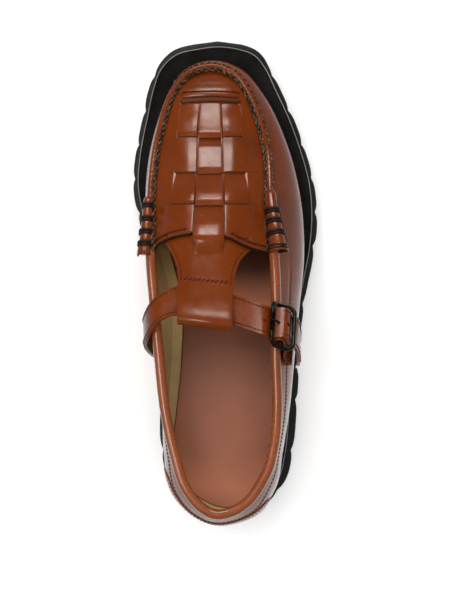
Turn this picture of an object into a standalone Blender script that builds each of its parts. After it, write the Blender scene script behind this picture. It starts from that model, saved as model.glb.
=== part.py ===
"""Right-foot T-bar loafer with a woven apron, on a chunky lugged sole, at full size.

Frame: +Y runs to the toe, +X to the wearer's right (the little-toe side), +Z up, floor at z = 0.
The tables and named sizes are millimetres, and mm() turns them into Blender's metres.
"""

import math

import bmesh
import bpy
from mathutils import Vector

# Driving sizes
GAP = 0.3                   # clearance between neighbouring pieces
WALL = 2.2                  # upper leather with its lining
STRAP_THICK = 1.8
ROLL_RADIUS = 2.8           # padded collar roll
SEAM_RADIUS = 1.5           # raised seam round the apron
MIDSOLE_THICK = 8.0
SHELF = 1.6                 # how far the outsole stands out past the midsole at a notch
LUG_FLATNESS = 4            # 2 is a round lug, more is flatter with a sharper notch
HEEL_FLARE = 1.4            # the heel stands this much further out on the lateral side
INSOLE_THICK = 4.0
GROOVE_WIDTH = 3.0
GROOVE_DEPTH = 4.0
BREAST_Y = -51.5            # front face of the heel
HOLE_RADIUS = 1.3           # punched holes in the strap
MIDSOLE_ROUND = (0.8, 1.0)  # rounding of the midsole's edges: inwards, up and down
LUG_ROUND = (1.2, 1.5)      # rounding of the outsole's and the heel's edges
CUT_CLEAR = 1.5             # no rung lies nearer than this to a straight end of a sole piece
GROOVE_CLEAR = 6.0          # no groove lies nearer than this to the end of a sole piece
LEVEL_FLOOR = 3.0           # grooves end where the sole curves up higher than this
GROOVE_SPAN = 140.0         # length of a groove's cutter, wider than the shoe
INSOLE_GAP = 0.8            # from the insole to the inside of the wall at its foot
ROLL_SEAT = 1.2             # from the top of the wall to a roll of the apron seam
SEAM_SEAT = 0.6             # from the top of the wall to the raised seam
SEAM_LEAN = 0.5             # the raised seam leans outwards by this part of its rise
# Table rows that a roll stops short of its neighbour: the collar roll at the throat, the raised seam at the
# lateral and the medial roll
COLLAR_ENDS = 0.04
SEAM_ENDS = (0.02, 0.03)

# How finely the surfaces are divided
FINE_STEPS = 400            # steps that a curve's length is measured with
MIDSOLE_RUNGS, LUG_RUNGS, INSOLE_RUNGS = 44, 92, 36
SOLE_CELLS = 4
NEARBY = 0.02               # table rows to either side that a curve's direction is taken over
SHOE_WAIST = 0.3            # how much less the length counts than the width in telling out from in
WELD = 0.05                 # points nearer than this are one
WALL_STEPS, APRON_STEPS, APRON_CELLS, REAR_STEPS = 6, 18, 8, 34
COLLAR_STEPS, SEAM_STEPS, BEEFROLL_STEPS = 52, 40, 8
T_BAR_CELLS, STRAP_CELLS = 6, 4
STRAP_STEPS = 2             # rows between two rows of a strap's table
CORNER_STEPS = 4            # steps round a corner of the buckle

# Side profiles: y along the shoe, z
SOLE_TOP = [(-136, 41.5), (-100, 39), (-60, 36.5), (-20, 31), (15, 26.5), (45, 24), (75, 24.8), (105, 28.5),
            (132, 34)]
OUTSOLE_BOTTOM = [(-60, 21), (-50, 20.5), (-40, 17.5), (-30, 9), (-20, 2), (-12, 0), (78, 0), (95, 0.9),
                  (115, 4.2), (134, 9)]
HEEL_BOTTOM = [(-136, 1.6), (-126, 0.5), (-118, 0), (-50, 0)]

# Edge of the midsole: y, x on the medial side, x on the lateral side
TOE_TIP = (-4.5, 129.3)
WELT = [(128, -15.5, 7), (124.5, -28.5, 16.5), (117, -36.5, 22.8), (106, -40.8, 28.2), (90, -44.4, 35.8),
        (72, -48.1, 42.5), (52, -49.7, 47.8), (34, -46.5, 49.1), (16, -40.5, 47.6), (-5, -34.5, 43.6),
        (-28, -31.5, 40), (-52, -32.8, 37.3), (-78, -35.4, 35.6), (-98, -34.6, 33.6), (-112, -31, 30.2),
        (-124, -22, 21.5), (-130.5, -11, 9)]
HEEL_TIP = (-1, -132)

# Lug notches along the sides, which the tread grooves continue underneath
SOLE_NOTCHES = [152, 113, 94, 75, 56, 37, 18, -15, -33, -52]
HEEL_NOTCHES = [-52, -69, -97, -118, -150]
# How far a lug swells out between two notches: y, swell
LUG_BULGE = [(-136, 1.3), (-10, 1.3), (25, 1.6), (60, 1.2), (110, 1.3), (130, 2.3)]

# Upper, a row per section, from the heel round the lateral side to the toe and back along the medial side:
# foot x y, top x y z, and how far the lower and upper half of the section bow outwards
LATERAL_THROAT, TOE, MEDIAL_THROAT = 8, 13, 19
UPPER = [
    ("heel",            -1.5, -130.0,  -3.5, -128.2, 90.5, 10.0, 7.0),
    ("heel_round",       7.0, -129.3,   5.3, -125.9, 90.4, 10.0, 7.0),
    ("heel_lateral",    15.0, -125.6,  13.1, -120.4, 90.0, 11.0, 8.0),
    ("counter_lateral", 23.5, -117.0,  21.3, -108.4, 88.5,  8.0, 6.0),
    ("counter_end",     29.2,  -97.0,  26.5,  -93.0, 86.0,  5.0, 4.0),
    ("ankle_lateral",   32.3,  -70.0,  28.7,  -70.0, 82.0,  7.0, 5.5),
    ("waist_lateral",   34.2,  -45.0,  28.1,  -45.0, 79.0,  8.5, 7.5),
    ("instep_lateral",  36.8,  -15.0,  28.3,  -15.0, 77.0, 10.0, 9.5),
    ("throat_lateral",  39.3,   13.0,  27.2,   12.0, 74.0, 11.0, 12.0),
    ("ball_lateral",    38.3,   40.0,  23.9,   39.0, 66.5, 11.0, 13.5),
    ("vamp_lateral",    30.2,   73.0,  21.7,   71.5, 53.5, 10.0, 10.5),
    ("toe_lateral",     18.8,  100.0,  12.8,   99.8, 48.5,  7.0, 7.0),
    ("toe_corner",       7.8,  113.2,   4.8,  111.0, 47.3,  6.0, 6.0),
    ("toe",             -6.0,  118.0,  -6.5,  115.6, 47.0,  5.0, 5.5),
    ("toe_medial",     -20.0,  114.5, -18.8,  113.0, 47.0,  4.5, 5.0),
    ("toe_side",       -30.0,  101.0, -28.6,  101.8, 47.8,  3.5, 4.0),
    ("vamp_medial",    -38.0,   79.0, -36.2,   78.0, 52.0,  4.0, 4.5),
    ("ball_medial",    -42.0,   52.0, -39.8,   52.0, 61.0,  4.0, 5.0),
    ("joint_medial",   -40.5,   32.0, -40.6,   31.0, 68.5,  5.0, 5.0),
    ("throat_medial",  -33.5,   10.0, -41.4,   11.0, 75.0,  6.5, 4.5),
    ("instep_medial",  -27.6,  -15.0, -39.4,  -15.0, 78.0,  6.5, 3.5),
    ("waist_medial",   -28.2,  -45.0, -36.6,  -45.0, 80.5,  5.0, 3.0),
    ("ankle_medial",   -31.0,  -75.0, -32.9,  -75.0, 83.5,  4.0, 3.0),
    ("counter_medial", -31.2,  -97.0, -27.8,  -97.0, 86.5,  6.0, 4.5),
    ("heel_medial",    -24.5, -115.5, -22.0, -114.0, 88.7, 10.0, 8.0),
    ("heel_corner",    -13.2, -125.8, -13.0, -124.6, 90.0, 10.0, 8.0),
]
# Rolled ends of the apron seam: start and end along the upper's rows, radius at each, and outward lean
BEEFROLLS = [
    ("beefroll_lateral", LATERAL_THROAT + 0.08, LATERAL_THROAT + 1.22, 4.9, 2.9, 0.25),
    ("beefroll_medial", MEDIAL_THROAT - 0.08, MEDIAL_THROAT - 1.57, 3.6, 2.5, 0.6),
]
# Crown of the apron over its edges, by how far back it is from the toe (0) to the throat (1)
CROWN = [(0, 0), (0.1, 1.8), (0.3, 6), (0.6, 11.5), (1, 16)]
# Throat edge: how far it lies in front of a straight line, from the medial (0) to the lateral (1) end
THROAT = [(0, 0), (0.08, 6.5), (0.2, 10), (0.35, 11.5), (0.6, 9.5), (0.8, 3.5), (1, 0)]
# The T-bar rises behind the throat edge: distance behind it, rise
STEM_RISE = [(-8, -4.2), (0, 0), (10, 4.4), (20, 8.2), (30, 11.6), (52, 18)]
STEM_DROP = 4.2             # from the apron's face down to the middle of the T-bar tucked under it
LOOP_ROOM = 7.0             # between the two layers of the loop at the end of the T-bar
# T-bar, a row per section: medial x y, lateral x y, how far down from the upper (0) to the lower layer (1)
T_BAR = [
    ("root",       -28.5,  26.0,   8.5,  20.5, 0.18),
    ("throat",     -32.6,  20.0,  13.2,  14.6, 0.2),
    ("wing",       -31.0,  15.5,  10.6,  11.3, 0.08),
    ("narrowing",  -28.4,  11.0,   7.6,   7.6, 0.0),
    ("neck",       -25.7,   4.0,   5.2,   1.8, 0.0),
    ("cross_seam", -25.2,  -2.0,   4.2,  -4.8, 0.0),
    ("loop_front", -25.4,  -8.0,   3.8, -11.0, 0.0),
    ("loop_top",   -25.5, -16.0,   3.6, -19.5, 0.0),
    ("loop_back",  -25.5, -22.8,   3.4, -26.4, 0.03),
    ("loop_fold",  -25.4, -25.2,   3.3, -28.9, 0.5),
    ("fold_under", -25.3, -22.8,   3.4, -26.4, 0.97),
    ("under",      -25.2, -14.0,   3.6, -17.5, 1.0),
    ("under_end",  -25.0,  -2.5,   3.9,  -6.0, 0.9),
]
# Strap from its anchor on the medial quarter to the loop, a row per section: front x y z, rear x y z
STRAP_MEDIAL = [
    ("anchor",    -32.3, -31.5, 41.0, -32.4, -47.0, 43.0),
    ("side_low",  -36.9, -29.5, 52.0, -36.7, -45.8, 54.0),
    ("side",      -41.6, -26.8, 63.0, -40.9, -42.5, 65.0),
    ("side_high", -43.7, -23.2, 74.0, -43.3, -38.0, 76.0),
    ("bend",      -42.2, -18.6, 83.5, -41.6, -33.2, 86.0),
    ("over_roll", -38.6, -13.2, 88.5, -38.2, -27.6, 92.0),
    ("shoulder",  -32.8,  -8.6, 90.0, -33.2, -23.2, 94.0),
]
# Places of the strap's two edges inside the loop: x, front y, rear y
STRAP_IN_LOOP = [(-25.4, -5.6, -21.2), (-11.0, -7.6, -23.6), (3.4, -10.0, -26.2)]
# Free end of the strap past the buckle: front x y z, rear x y z
STRAP_TAIL = [
    ("over_collar", 38.4, -23.0, 81.5, 37.2, -39.0, 85.5),
    ("tail_bend",   39.8, -27.7, 74.0, 39.1, -43.5, 77.5),
    ("tail",        39.9, -33.0, 65.5, 39.6, -47.5, 68.5),
    ("tail_round",  40.0, -38.5, 58.5, 39.8, -49.0, 60.5),
    ("tail_end",    40.2, -42.5, 55.5, 40.1, -47.5, 56.5),
]
# Buckle: its middle, the direction across it (to the lateral side) and along its bars (backwards)
BUCKLE_MIDDLE = (29.5, -27.2, 91.5)
BUCKLE_ACROSS = (0.84, -0.28, -0.46)
BUCKLE_ALONG = (0.06, -0.93, 0.37)
BUCKLE_HALF_WIDTH = 6.9
BUCKLE_HALF_LENGTH = 12.2
BUCKLE_CORNER = 3.6
BUCKLE_LIFT = 2.2           # the outer bars stand above the middle bar
BAR_RADIUS = 1.2
MIDDLE_BAR_RADIUS = 1.1
PRONG_RADIUS = 0.7
STRAP_ON_BUCKLE = (-9.0, 8.2)   # front and rear edge of the strap, along the buckle
# Strap through the buckle: across, under an outer bar (0) or over the middle bar (1), offset outwards
STRAP_WAVE = [(-12, 0, 0.3), (-7.9, 0, -0.2), (-5.9, 0, 0), (-1.6, 1, -0.1),
              (1.6, 1, -0.1), (5.9, 0, 0), (8.1, 0, -1)]
# Punched holes, the one in use and the next one: foot and head of each, across the buckle and out of it
STRAP_HOLES = [((1.2, 1.8), (-6, 4.8)), ((-10.8, -4), (-10.8, 4))]
# Prong: first and last angle of its curl round the middle bar and the step between; arch, reach, drop
PRONG_CURL = (175, 450, 25)
PRONG_ARCH, PRONG_REACH, PRONG_DROP = 0.3, 1.6, 0.4
BAR_OVERLAP = 0.2           # the middle bar runs this far into the frame's bars
# Tab that holds the buckle: thickness, and the places of its edges and of the prong's slot along the buckle
TAB_THICK = 1.4
TAB_PLACES = (-8.0, -4.6, -1.3, 1.3, 5.2, 9.0)
# Fold of the tab round the middle bar, from its under layer to its upper one: across the buckle, out of it
TAB_FOLD = [(4.4, -4.8), (0, -4.2), (-3.2, -4.6), (-5.0, -3.4), (-3.8, -1.5),
            (-1.6, 1.4), (0, 2.1), (1.6, 1.4), (4.2, -1.9), (6.2, -3.4)]
TAB_SLOT = (4, 8)           # the rows of the fold that the prong's slot lies between
# Tab from the buckle down the lateral quarter: front x y z, rear x y z
TAB_DOWN = [
    ("over_roll", 33.4, -23.5, 82.0, 31.8, -41.0, 86.2),
    ("side_high", 33.8, -26.5, 77.0, 31.7, -43.5, 80.0),
    ("side",      34.6, -29.5, 71.0, 32.7, -46.5, 73.0),
    ("end",       36.8, -31.5, 65.0, 35.4, -48.5, 66.0),
]
# Middle of the footprint in the tables' frame: the part is moved to put it at the origin
MIDDLE = (-0.13, -1.16)


def mm(*values):
    """Millimetres to a vector in metres."""
    return Vector(values) * 0.001


def slopes(rows):
    """Slopes that keep a curve through (x, y) rows free of overshoot, so that level stretches stay level."""
    steps = [(b[1] - a[1]) / (b[0] - a[0]) for a, b in zip(rows, rows[1:])]
    inner = [0 if p * q <= 0 else 2 * p * q / (p + q) for p, q in zip(steps, steps[1:])]
    return [steps[0]] + inner + [steps[-1]]


def profile(rows, x):
    """Height of the smooth curve through (x, y) rows."""
    x = min(max(x, rows[0][0]), rows[-1][0])
    index = max(i for i, row in enumerate(rows[:-1]) if row[0] <= x)
    (x0, y0), (x1, y1) = rows[index:index + 2]
    m0, m1 = slopes(rows)[index:index + 2]
    return hermite(y0, y1, m0, m1, x1 - x0, (x - x0) / (x1 - x0))


def hermite(a, b, slope_a, slope_b, span, t):
    """Cubic from a to b with the given slopes."""
    return (a * (1 + 2 * t) * (1 - t) ** 2 + b * t * t * (3 - 2 * t)
            + span * (slope_a * t * (1 - t) ** 2 - slope_b * t * t * (1 - t)))


def closed_curve(rows):
    """Smooth closed curve through rows of numbers whose first two are x and y; t counts rows."""
    count = len(rows)
    span = [math.dist(rows[i][:2], rows[(i + 1) % count][:2]) for i in range(count)]

    def slope(i, k):
        before = (rows[i][k] - rows[i - 1][k]) / span[i - 1]
        after = (rows[(i + 1) % count][k] - rows[i][k]) / span[i]
        return (before * span[i] + after * span[i - 1]) / (span[i] + span[i - 1])

    def point(t):
        i = int(math.floor(t)) % count
        j = (i + 1) % count
        return tuple(hermite(rows[i][k], rows[j][k], slope(i, k), slope(j, k), span[i], t - math.floor(t))
                     for k in range(len(rows[0])))
    return point


def stretch(curve, start, end, count):
    """count + 1 values of t from start to end that lie evenly along the curve."""
    fine = [start + (end - start) * k / FINE_STEPS for k in range(FINE_STEPS + 1)]
    along = [0.0]
    for a, b in zip(fine, fine[1:]):
        along.append(along[-1] + math.dist(curve(a)[:2], curve(b)[:2]))
    picked = []
    k = 0
    for step in range(count + 1):
        goal = along[-1] * step / count
        while k < FINE_STEPS - 1 and along[k + 1] < goal:
            k += 1
        part = (goal - along[k]) / (along[k + 1] - along[k])
        picked.append(fine[k] + (fine[k + 1] - fine[k]) * part)
    return picked


def outward(curve, t):
    """Unit plan vector out of a closed curve at t, whichever way round the curve runs."""
    x0, y0 = curve(t - NEARBY)[:2]
    x1, y1 = curve(t + NEARBY)[:2]
    out = Vector((y1 - y0, x0 - x1)).normalized()
    x, y = curve(t)[:2]
    return out if out.dot(Vector((x, y * SHOE_WAIST))) > 0 else -out


def welt_curve():
    """Edge of the midsole as a closed curve: t is 0 at the toe tip and the returned value at the heel tip."""
    rows = [TOE_TIP] + [(lateral, y) for y, _, lateral in WELT] + [HEEL_TIP]
    rows += [(medial, y) for y, medial, _ in reversed(WELT)]
    return closed_curve(rows), len(WELT) + 1


def rungs(count, offset=0.0, notches=None, front=TOE_TIP[1], back=HEEL_TIP[1], flare=0.0):
    """Pairs of plan points, lateral and medial, from front to back along the midsole's edge, moved out."""
    curve, heel = welt_curve()
    edge, moved = [], []
    for ts in zip(stretch(curve, 0, heel, count), stretch(curve, 2 * heel, heel, count)):
        edge.append([curve(t)[:2] for t in ts])
        pair = []
        for t in ts:
            x, y = curve(t)[:2]
            out = outward(curve, t)
            swell = offset + (lug(y, notches) if notches else 0) + flare * out.x
            pair.append((x + out.x * swell, y + out.y * swell))
        moved.append(pair)
    kept = []
    for pair, where in zip(moved, edge):
        if all(back + CUT_CLEAR < y < front - CUT_CLEAR for _, y in where):
            kept.append(pair)
    kept.insert(0, straight_cut(moved, front) if front < TOE_TIP[1] else moved[0])
    kept.append(straight_cut(moved, back) if back > HEEL_TIP[1] else moved[-1])
    return kept


def straight_cut(pairs, y):
    """Rung straight across the shoe at y."""
    ends = []
    for side in (0, 1):
        line = [pair[side] for pair in pairs]
        a, b = next((p, q) for p, q in zip(line, line[1:]) if q[1] <= y <= p[1])
        part = (y - a[1]) / (b[1] - a[1])
        ends.append((a[0] + (b[0] - a[0]) * part, y))
    return ends


def lug(y, notches):
    """How far a lug stands out at y, level between the notches on either side of it."""
    for a, b in zip(notches, notches[1:]):
        if b <= y <= a:
            off_middle = abs(2 * (y - b) / (a - b) - 1)
            return profile(LUG_BULGE, y) * (1 - off_middle ** LUG_FLATNESS)
    return 0.0


def skin(name, colour, roughness, metallic=0.0):
    """Principled material with one colour."""
    material = bpy.data.materials.new(name)
    material.use_nodes = True
    shader = material.node_tree.nodes["Principled BSDF"]
    shader.inputs["Base Color"].default_value = (*colour, 1)
    shader.inputs["Roughness"].default_value = roughness
    shader.inputs["Metallic"].default_value = metallic
    return material


def add(name, data, material, home):
    """New object from mesh or curve data in the given collection."""
    made = bpy.data.objects.new(name, data)
    made.data.materials.append(material)
    home.objects.link(made)
    return made


def finish_mesh(name, work, material, home, smooth=True):
    """Welds a bmesh, points its faces outwards and makes it an object."""
    bmesh.ops.remove_doubles(work, verts=work.verts, dist=WELD * 0.001)
    bmesh.ops.recalc_face_normals(work, faces=work.faces)
    data = bpy.data.meshes.new(name)
    work.to_mesh(data)
    work.free()
    if smooth:
        data.shade_smooth()
    return add(name, data, material, home)


def bridge(work, line_a, line_b):
    """Quads between two lines of vertices."""
    for a, b, c, d in zip(line_a, line_a[1:], line_b[1:], line_b):
        work.faces.new((a, b, c, d))


def block(name, levels, material, home):
    """Closed solid over plan rungs, from the lowest level to the highest: each is (rungs, height at y)."""
    work = bmesh.new()
    edges = []
    for index, (pairs, height) in enumerate(levels):
        capped = index in (0, len(levels) - 1)
        grid = []
        for lateral, medial in pairs:
            row = []
            for k in range(SOLE_CELLS + 1):
                x, y = (a + (b - a) * k / SOLE_CELLS for a, b in zip(lateral, medial))
                row.append(work.verts.new(mm(x, y, height(y))))
            grid.append(row)
        if capped:
            for row, following in zip(grid, grid[1:]):
                bridge(work, row, following)
        around = [row[0] for row in grid] + grid[-1][1:] + [row[-1] for row in reversed(grid[:-1])]
        around += grid[0][-2::-1]
        edges.append(around)
    for lower, upper in zip(edges, edges[1:]):
        bridge(work, lower, upper)
    loose = [v for v in work.verts if not v.link_faces]
    bmesh.ops.delete(work, geom=loose, context="VERTS")
    return finish_mesh(name, work, material, home)


def sheet(name, rows, thickness, material, home, slot=None):
    """Leather with its middle surface on a grid; slot is (first row, last row, column) left open."""
    work = bmesh.new()
    grid = [[work.verts.new(mm(*point)) for point in row] for row in rows]
    for index, (row, following) in enumerate(zip(grid, grid[1:])):
        if slot and slot[0] <= index < slot[1]:
            bridge(work, row[:slot[2] + 1], following[:slot[2] + 1])
            bridge(work, row[slot[2] + 1:], following[slot[2] + 1:])
        else:
            bridge(work, row, following)
    made = finish_mesh(name, work, material, home)
    solid = made.modifiers.new("Leather", "SOLIDIFY")
    solid.thickness = thickness * 0.001
    solid.offset = 0
    solid.use_even_offset = True
    return made


def tube(name, points, radius, material, home, radii=None, closed=False):
    """Round bar or roll along points; radii scales it point by point."""
    data = bpy.data.curves.new(name, "CURVE")
    data.dimensions = "3D"
    data.bevel_depth = radius * 0.001
    data.bevel_resolution = 2
    data.use_fill_caps = True
    spline = data.splines.new("POLY")
    spline.points.add(len(points) - 1)
    spline.use_cyclic_u = closed
    for index, point in enumerate(points):
        spline.points[index].co = (*mm(*point), 1)
        spline.points[index].radius = radii[index] if radii else 1
    return add(name, data, material, home)


def solid_tube(name, points, radius, material, home, closed=False):
    """A tube as a welded mesh, which a Boolean can work on."""
    drawn = tube(name, points, radius, material, home, closed=closed)
    data = bpy.data.meshes.new_from_object(drawn.evaluated_get(bpy.context.evaluated_depsgraph_get()))
    bpy.data.objects.remove(drawn)
    work = bmesh.new()
    work.from_mesh(data)
    bpy.data.meshes.remove(data)
    return finish_mesh(name, work, material, home)


def upper_curve():
    """The upper's table as a closed curve: t counts its rows."""
    return closed_curve([row[1:] for row in UPPER])


def wall_point(curve, t, v):
    """Point on the outer face of the wall: v is 0 at the foot and 1 at the top."""
    foot_x, foot_y, top_x, top_y, top_z, low_out, high_out = curve(t)
    foot = Vector((foot_x, foot_y, profile(SOLE_TOP, foot_y) + GAP))
    top = Vector((top_x, top_y, top_z))
    out = outward(curve, t).to_3d()
    third = Vector((0, 0, (top.z - foot.z) / 3))
    low = foot + out * low_out + third
    high = top + out * high_out - third
    w = 1 - v
    return foot * w ** 3 + low * 3 * w * w * v + high * 3 * w * v * v + top * v ** 3


def apron_point(lateral, medial, back, v):
    """Point on the apron's face: back is 0 at the toe and 1 at the throat, v 0 medial and 1 lateral."""
    point = medial.lerp(lateral, v)
    point.z += profile(CROWN, back) * 4 * v * (1 - v)
    point.y += profile(THROAT, v) * max(0.0, 2 * back - 1) ** 2
    return point


def stem_point(x, y, below=0.0):
    """Point on the middle surface of the T-bar, or that far below it."""
    curve = upper_curve()
    lateral = Vector(curve(LATERAL_THROAT)[2:5])
    medial = Vector(curve(MEDIAL_THROAT)[2:5])
    v = (x - medial.x) / (lateral.x - medial.x)
    edge = apron_point(lateral, medial, 1, v)
    return Vector((x, y, edge.z + profile(STEM_RISE, edge.y - y) - STEM_DROP - below))


def smooth_rows(rows, steps):
    """Rows of points with steps - 1 rows put in between each two, on a smooth curve."""
    out = []
    for i in range(len(rows) - 1):
        before, after = rows[max(i - 1, 0)], rows[min(i + 2, len(rows) - 1)]
        for k in range(steps):
            t = k / steps
            row = []
            for p0, p1, p2, p3 in zip(before, rows[i], rows[i + 1], after):
                m1, m2 = (p2 - p0) / 2, (p3 - p1) / 2
                row.append(hermite(p1, p2, m1, m2, 1, t))
            out.append(row)
    return out + [rows[-1]]


def between(front, rear, cells):
    """cells + 1 points from one edge of a strap to the other."""
    return [front.lerp(rear, k / cells) for k in range(cells + 1)]


def make_sole(rubber, home, tools):
    """Midsole, lugged outsole from the toe to the waist, and heel block."""
    def top(y):
        return profile(SOLE_TOP, y)

    def under_midsole(y):
        return top(y) - MIDSOLE_THICK

    inwards, upwards = MIDSOLE_ROUND
    edge = rungs(MIDSOLE_RUNGS)
    inner = rungs(MIDSOLE_RUNGS, -inwards)
    block("midsole", [(inner, under_midsole), (edge, lambda y: under_midsole(y) + upwards),
                      (edge, lambda y: top(y) - upwards), (inner, top)], rubber, home)

    def outsole_top(y):
        return under_midsole(y) - GAP

    inset_by, rise = LUG_ROUND
    for name, notches, front, back, bottom, lean in (
            ("outsole", SOLE_NOTCHES, TOE_TIP[1], BREAST_Y + GAP, OUTSOLE_BOTTOM, 0),
            ("heel", HEEL_NOTCHES, BREAST_Y, HEEL_TIP[1], HEEL_BOTTOM, HEEL_FLARE)):
        full = rungs(LUG_RUNGS, SHELF, notches, front, back, lean)
        inset = rungs(LUG_RUNGS, SHELF - inset_by, notches, front, back, lean)

        def floor(y, rows=bottom):
            return profile(rows, y)

        made = block(name, [(inset, floor), (full, lambda y, low=floor: low(y) + rise),
                            (full, lambda y: outsole_top(y) - rise), (inset, outsole_top)], rubber, home)
        grooves = []
        for y in notches:
            if back + GROOVE_CLEAR < y < front - GROOVE_CLEAR and floor(y) < LEVEL_FLOOR:
                grooves.append(y)
        cut_grooves(made, grooves, floor, rubber, tools)


def cut_grooves(made, places, floor, material, tools):
    """Cuts straight tread grooves across the underside of a sole piece."""
    for number, y in enumerate(places):
        work = bmesh.new()
        bmesh.ops.create_cube(work, size=1)
        bmesh.ops.scale(work, vec=mm(GROOVE_SPAN, GROOVE_WIDTH, 2 * GROOVE_DEPTH), verts=work.verts)
        bmesh.ops.translate(work, vec=mm(0, y, floor(y)), verts=work.verts)
        cutter = finish_mesh(f"{made.name}_groove_{number + 1}", work, material, tools, smooth=False)
        cut(made, cutter)


def cut(made, cutter):
    """Takes the cutter's shape out of an object."""
    cutter.hide_render = True
    cutter.display_type = "WIRE"
    boolean = made.modifiers.new(cutter.name, "BOOLEAN")
    boolean.operation = "DIFFERENCE"
    boolean.solver = "EXACT"
    boolean.object = cutter


def make_insole(leather, home):
    """Sock board that fills the foot of the upper."""
    curve = upper_curve()
    count = len(UPPER)
    sides = []
    for end in (0, count):
        side = []
        for t in stretch(curve, TOE, end, INSOLE_RUNGS):
            x, y = curve(t)[:2]
            out = outward(curve, t)
            inset = WALL + INSOLE_GAP
            side.append((x - out.x * inset, y - out.y * inset))
        sides.append(side)
    pairs = list(zip(*sides))
    block("insole", [(pairs, lambda y: profile(SOLE_TOP, y) + GAP),
                     (pairs, lambda y: profile(SOLE_TOP, y) + GAP + INSOLE_THICK)], leather, home)


def make_upper(leather, home):
    """One hollow piece: the wall all round, and the apron from the toe to the throat."""
    curve = upper_curve()
    count = len(UPPER)
    lateral = stretch(curve, LATERAL_THROAT, TOE, APRON_STEPS)
    medial = stretch(curve, TOE, MEDIAL_THROAT, APRON_STEPS)
    rear = stretch(curve, MEDIAL_THROAT, count + LATERAL_THROAT, REAR_STEPS)
    around = lateral[:-1] + medial[:-1] + rear[:-1]
    work = bmesh.new()
    rings = []
    for row in range(WALL_STEPS + 1):
        rings.append([work.verts.new(mm(*wall_point(curve, t, row / WALL_STEPS))) for t in around])
    for low, high in zip(rings, rings[1:]):
        bridge(work, low + low[:1], high + high[:1])
    for index in range(APRON_STEPS):
        quad_rows = []
        for step in (index, index + 1):
            back = step / APRON_STEPS
            right = wall_point(curve, lateral[APRON_STEPS - step], 1)
            left = wall_point(curve, medial[step], 1)
            quad_rows.append([work.verts.new(mm(*apron_point(right, left, back, k / APRON_CELLS)))
                              for k in range(APRON_CELLS + 1)])
        bridge(work, *quad_rows)
    made = finish_mesh("upper", work, leather, home)
    solid = made.modifiers.new("Leather", "SOLIDIFY")
    solid.thickness = WALL * 0.001
    solid.offset = -1
    solid.use_even_offset = True
    solid.thickness_clamp = 1.0


def make_rolls(leather, home):
    """Padded collar roll, rolled ends of the apron seam, and the raised seam round the toe."""
    curve = upper_curve()
    count = len(UPPER)

    def seat(t, radius, lean, gap):
        """Middle of a roll that rests on the top of the wall, leaning outwards."""
        out = outward(curve, t).to_3d()
        up = (Vector((0, 0, 1)) + out * lean).normalized()
        return wall_point(curve, t, 1) + up * (radius + gap)

    path = []
    for t in stretch(curve, MEDIAL_THROAT + COLLAR_ENDS, count + LATERAL_THROAT - COLLAR_ENDS, COLLAR_STEPS):
        path.append(seat(t, ROLL_RADIUS, 0, GAP) - outward(curve, t).to_3d() * (WALL / 2))
    tube("collar_roll", path, ROLL_RADIUS, leather, home)

    for name, start, end, wide, narrow, lean in BEEFROLLS:
        parts = [k / BEEFROLL_STEPS for k in range(BEEFROLL_STEPS + 1)]
        path, sizes = [], []
        for part in parts:
            size = wide + (narrow - wide) * part
            path.append(seat(start + (end - start) * part, size, lean, ROLL_SEAT))
            sizes.append(size)
        tube(name, path, 1, leather, home, radii=sizes)

    lateral_end, medial_end = (roll[2] for roll in BEEFROLLS)
    places = stretch(curve, lateral_end + SEAM_ENDS[0], medial_end - SEAM_ENDS[1], SEAM_STEPS)
    path = [seat(t, SEAM_RADIUS, SEAM_LEAN, SEAM_SEAT) for t in places]
    tube("apron_seam", path, SEAM_RADIUS, leather, home)


def make_t_bar(leather, home):
    """Stem from under the throat edge, with the loop that the strap runs through."""
    rows = []
    for _, left_x, left_y, right_x, right_y, below in T_BAR:
        row = []
        for k in range(T_BAR_CELLS + 1):
            part = k / T_BAR_CELLS
            row.append(stem_point(left_x + (right_x - left_x) * part, left_y + (right_y - left_y) * part,
                                  below * LOOP_ROOM))
        rows.append(row)
    sheet("t_bar", smooth_rows(rows, STRAP_STEPS), STRAP_THICK, leather, home)


def buckle_axes():
    """Across, along and out of the buckle, as unit vectors."""
    across = Vector(BUCKLE_ACROSS).normalized()
    along = Vector(BUCKLE_ALONG)
    along = (along - across * along.dot(across)).normalized()
    return across, along, along.cross(across)


def on_buckle(across, along, out):
    """Point given in millimetres across, along and out of the buckle."""
    axes = buckle_axes()
    return Vector(BUCKLE_MIDDLE) + axes[0] * across + axes[1] * along + axes[2] * out


def strap_rows():
    """Front and rear edge of the strap from its anchor to its free end."""
    rows = [[Vector(row[1:4]), Vector(row[4:7])] for row in STRAP_MEDIAL]
    for x, front_y, rear_y in STRAP_IN_LOOP:
        rows.append([stem_point(x, front_y, LOOP_ROOM / 2), stem_point(x, rear_y, LOOP_ROOM / 2)])
    dip = BUCKLE_LIFT - BAR_RADIUS - 2 * GAP - STRAP_THICK / 2
    crest = MIDDLE_BAR_RADIUS + 2 * GAP + 2 * PRONG_RADIUS + STRAP_THICK / 2
    for across, over, offset in STRAP_WAVE:
        out = (crest if over else dip) + offset
        rows.append([on_buckle(across, along, out) for along in STRAP_ON_BUCKLE])
    rows += [[Vector(row[1:4]), Vector(row[4:7])] for row in STRAP_TAIL]
    return rows


def make_strap(leather, home, tools):
    """Strap with its punched holes."""
    rows = [between(front, rear, STRAP_CELLS) for front, rear in strap_rows()]
    made = sheet("strap", smooth_rows(rows, STRAP_STEPS), STRAP_THICK, leather, home)
    for number, (low, high) in enumerate(STRAP_HOLES):
        foot, head = on_buckle(low[0], 0, low[1]), on_buckle(high[0], 0, high[1])
        cutter = solid_tube(f"strap_hole_{number + 1}", [foot, head], HOLE_RADIUS, leather, tools)
        cut(made, cutter)


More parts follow.
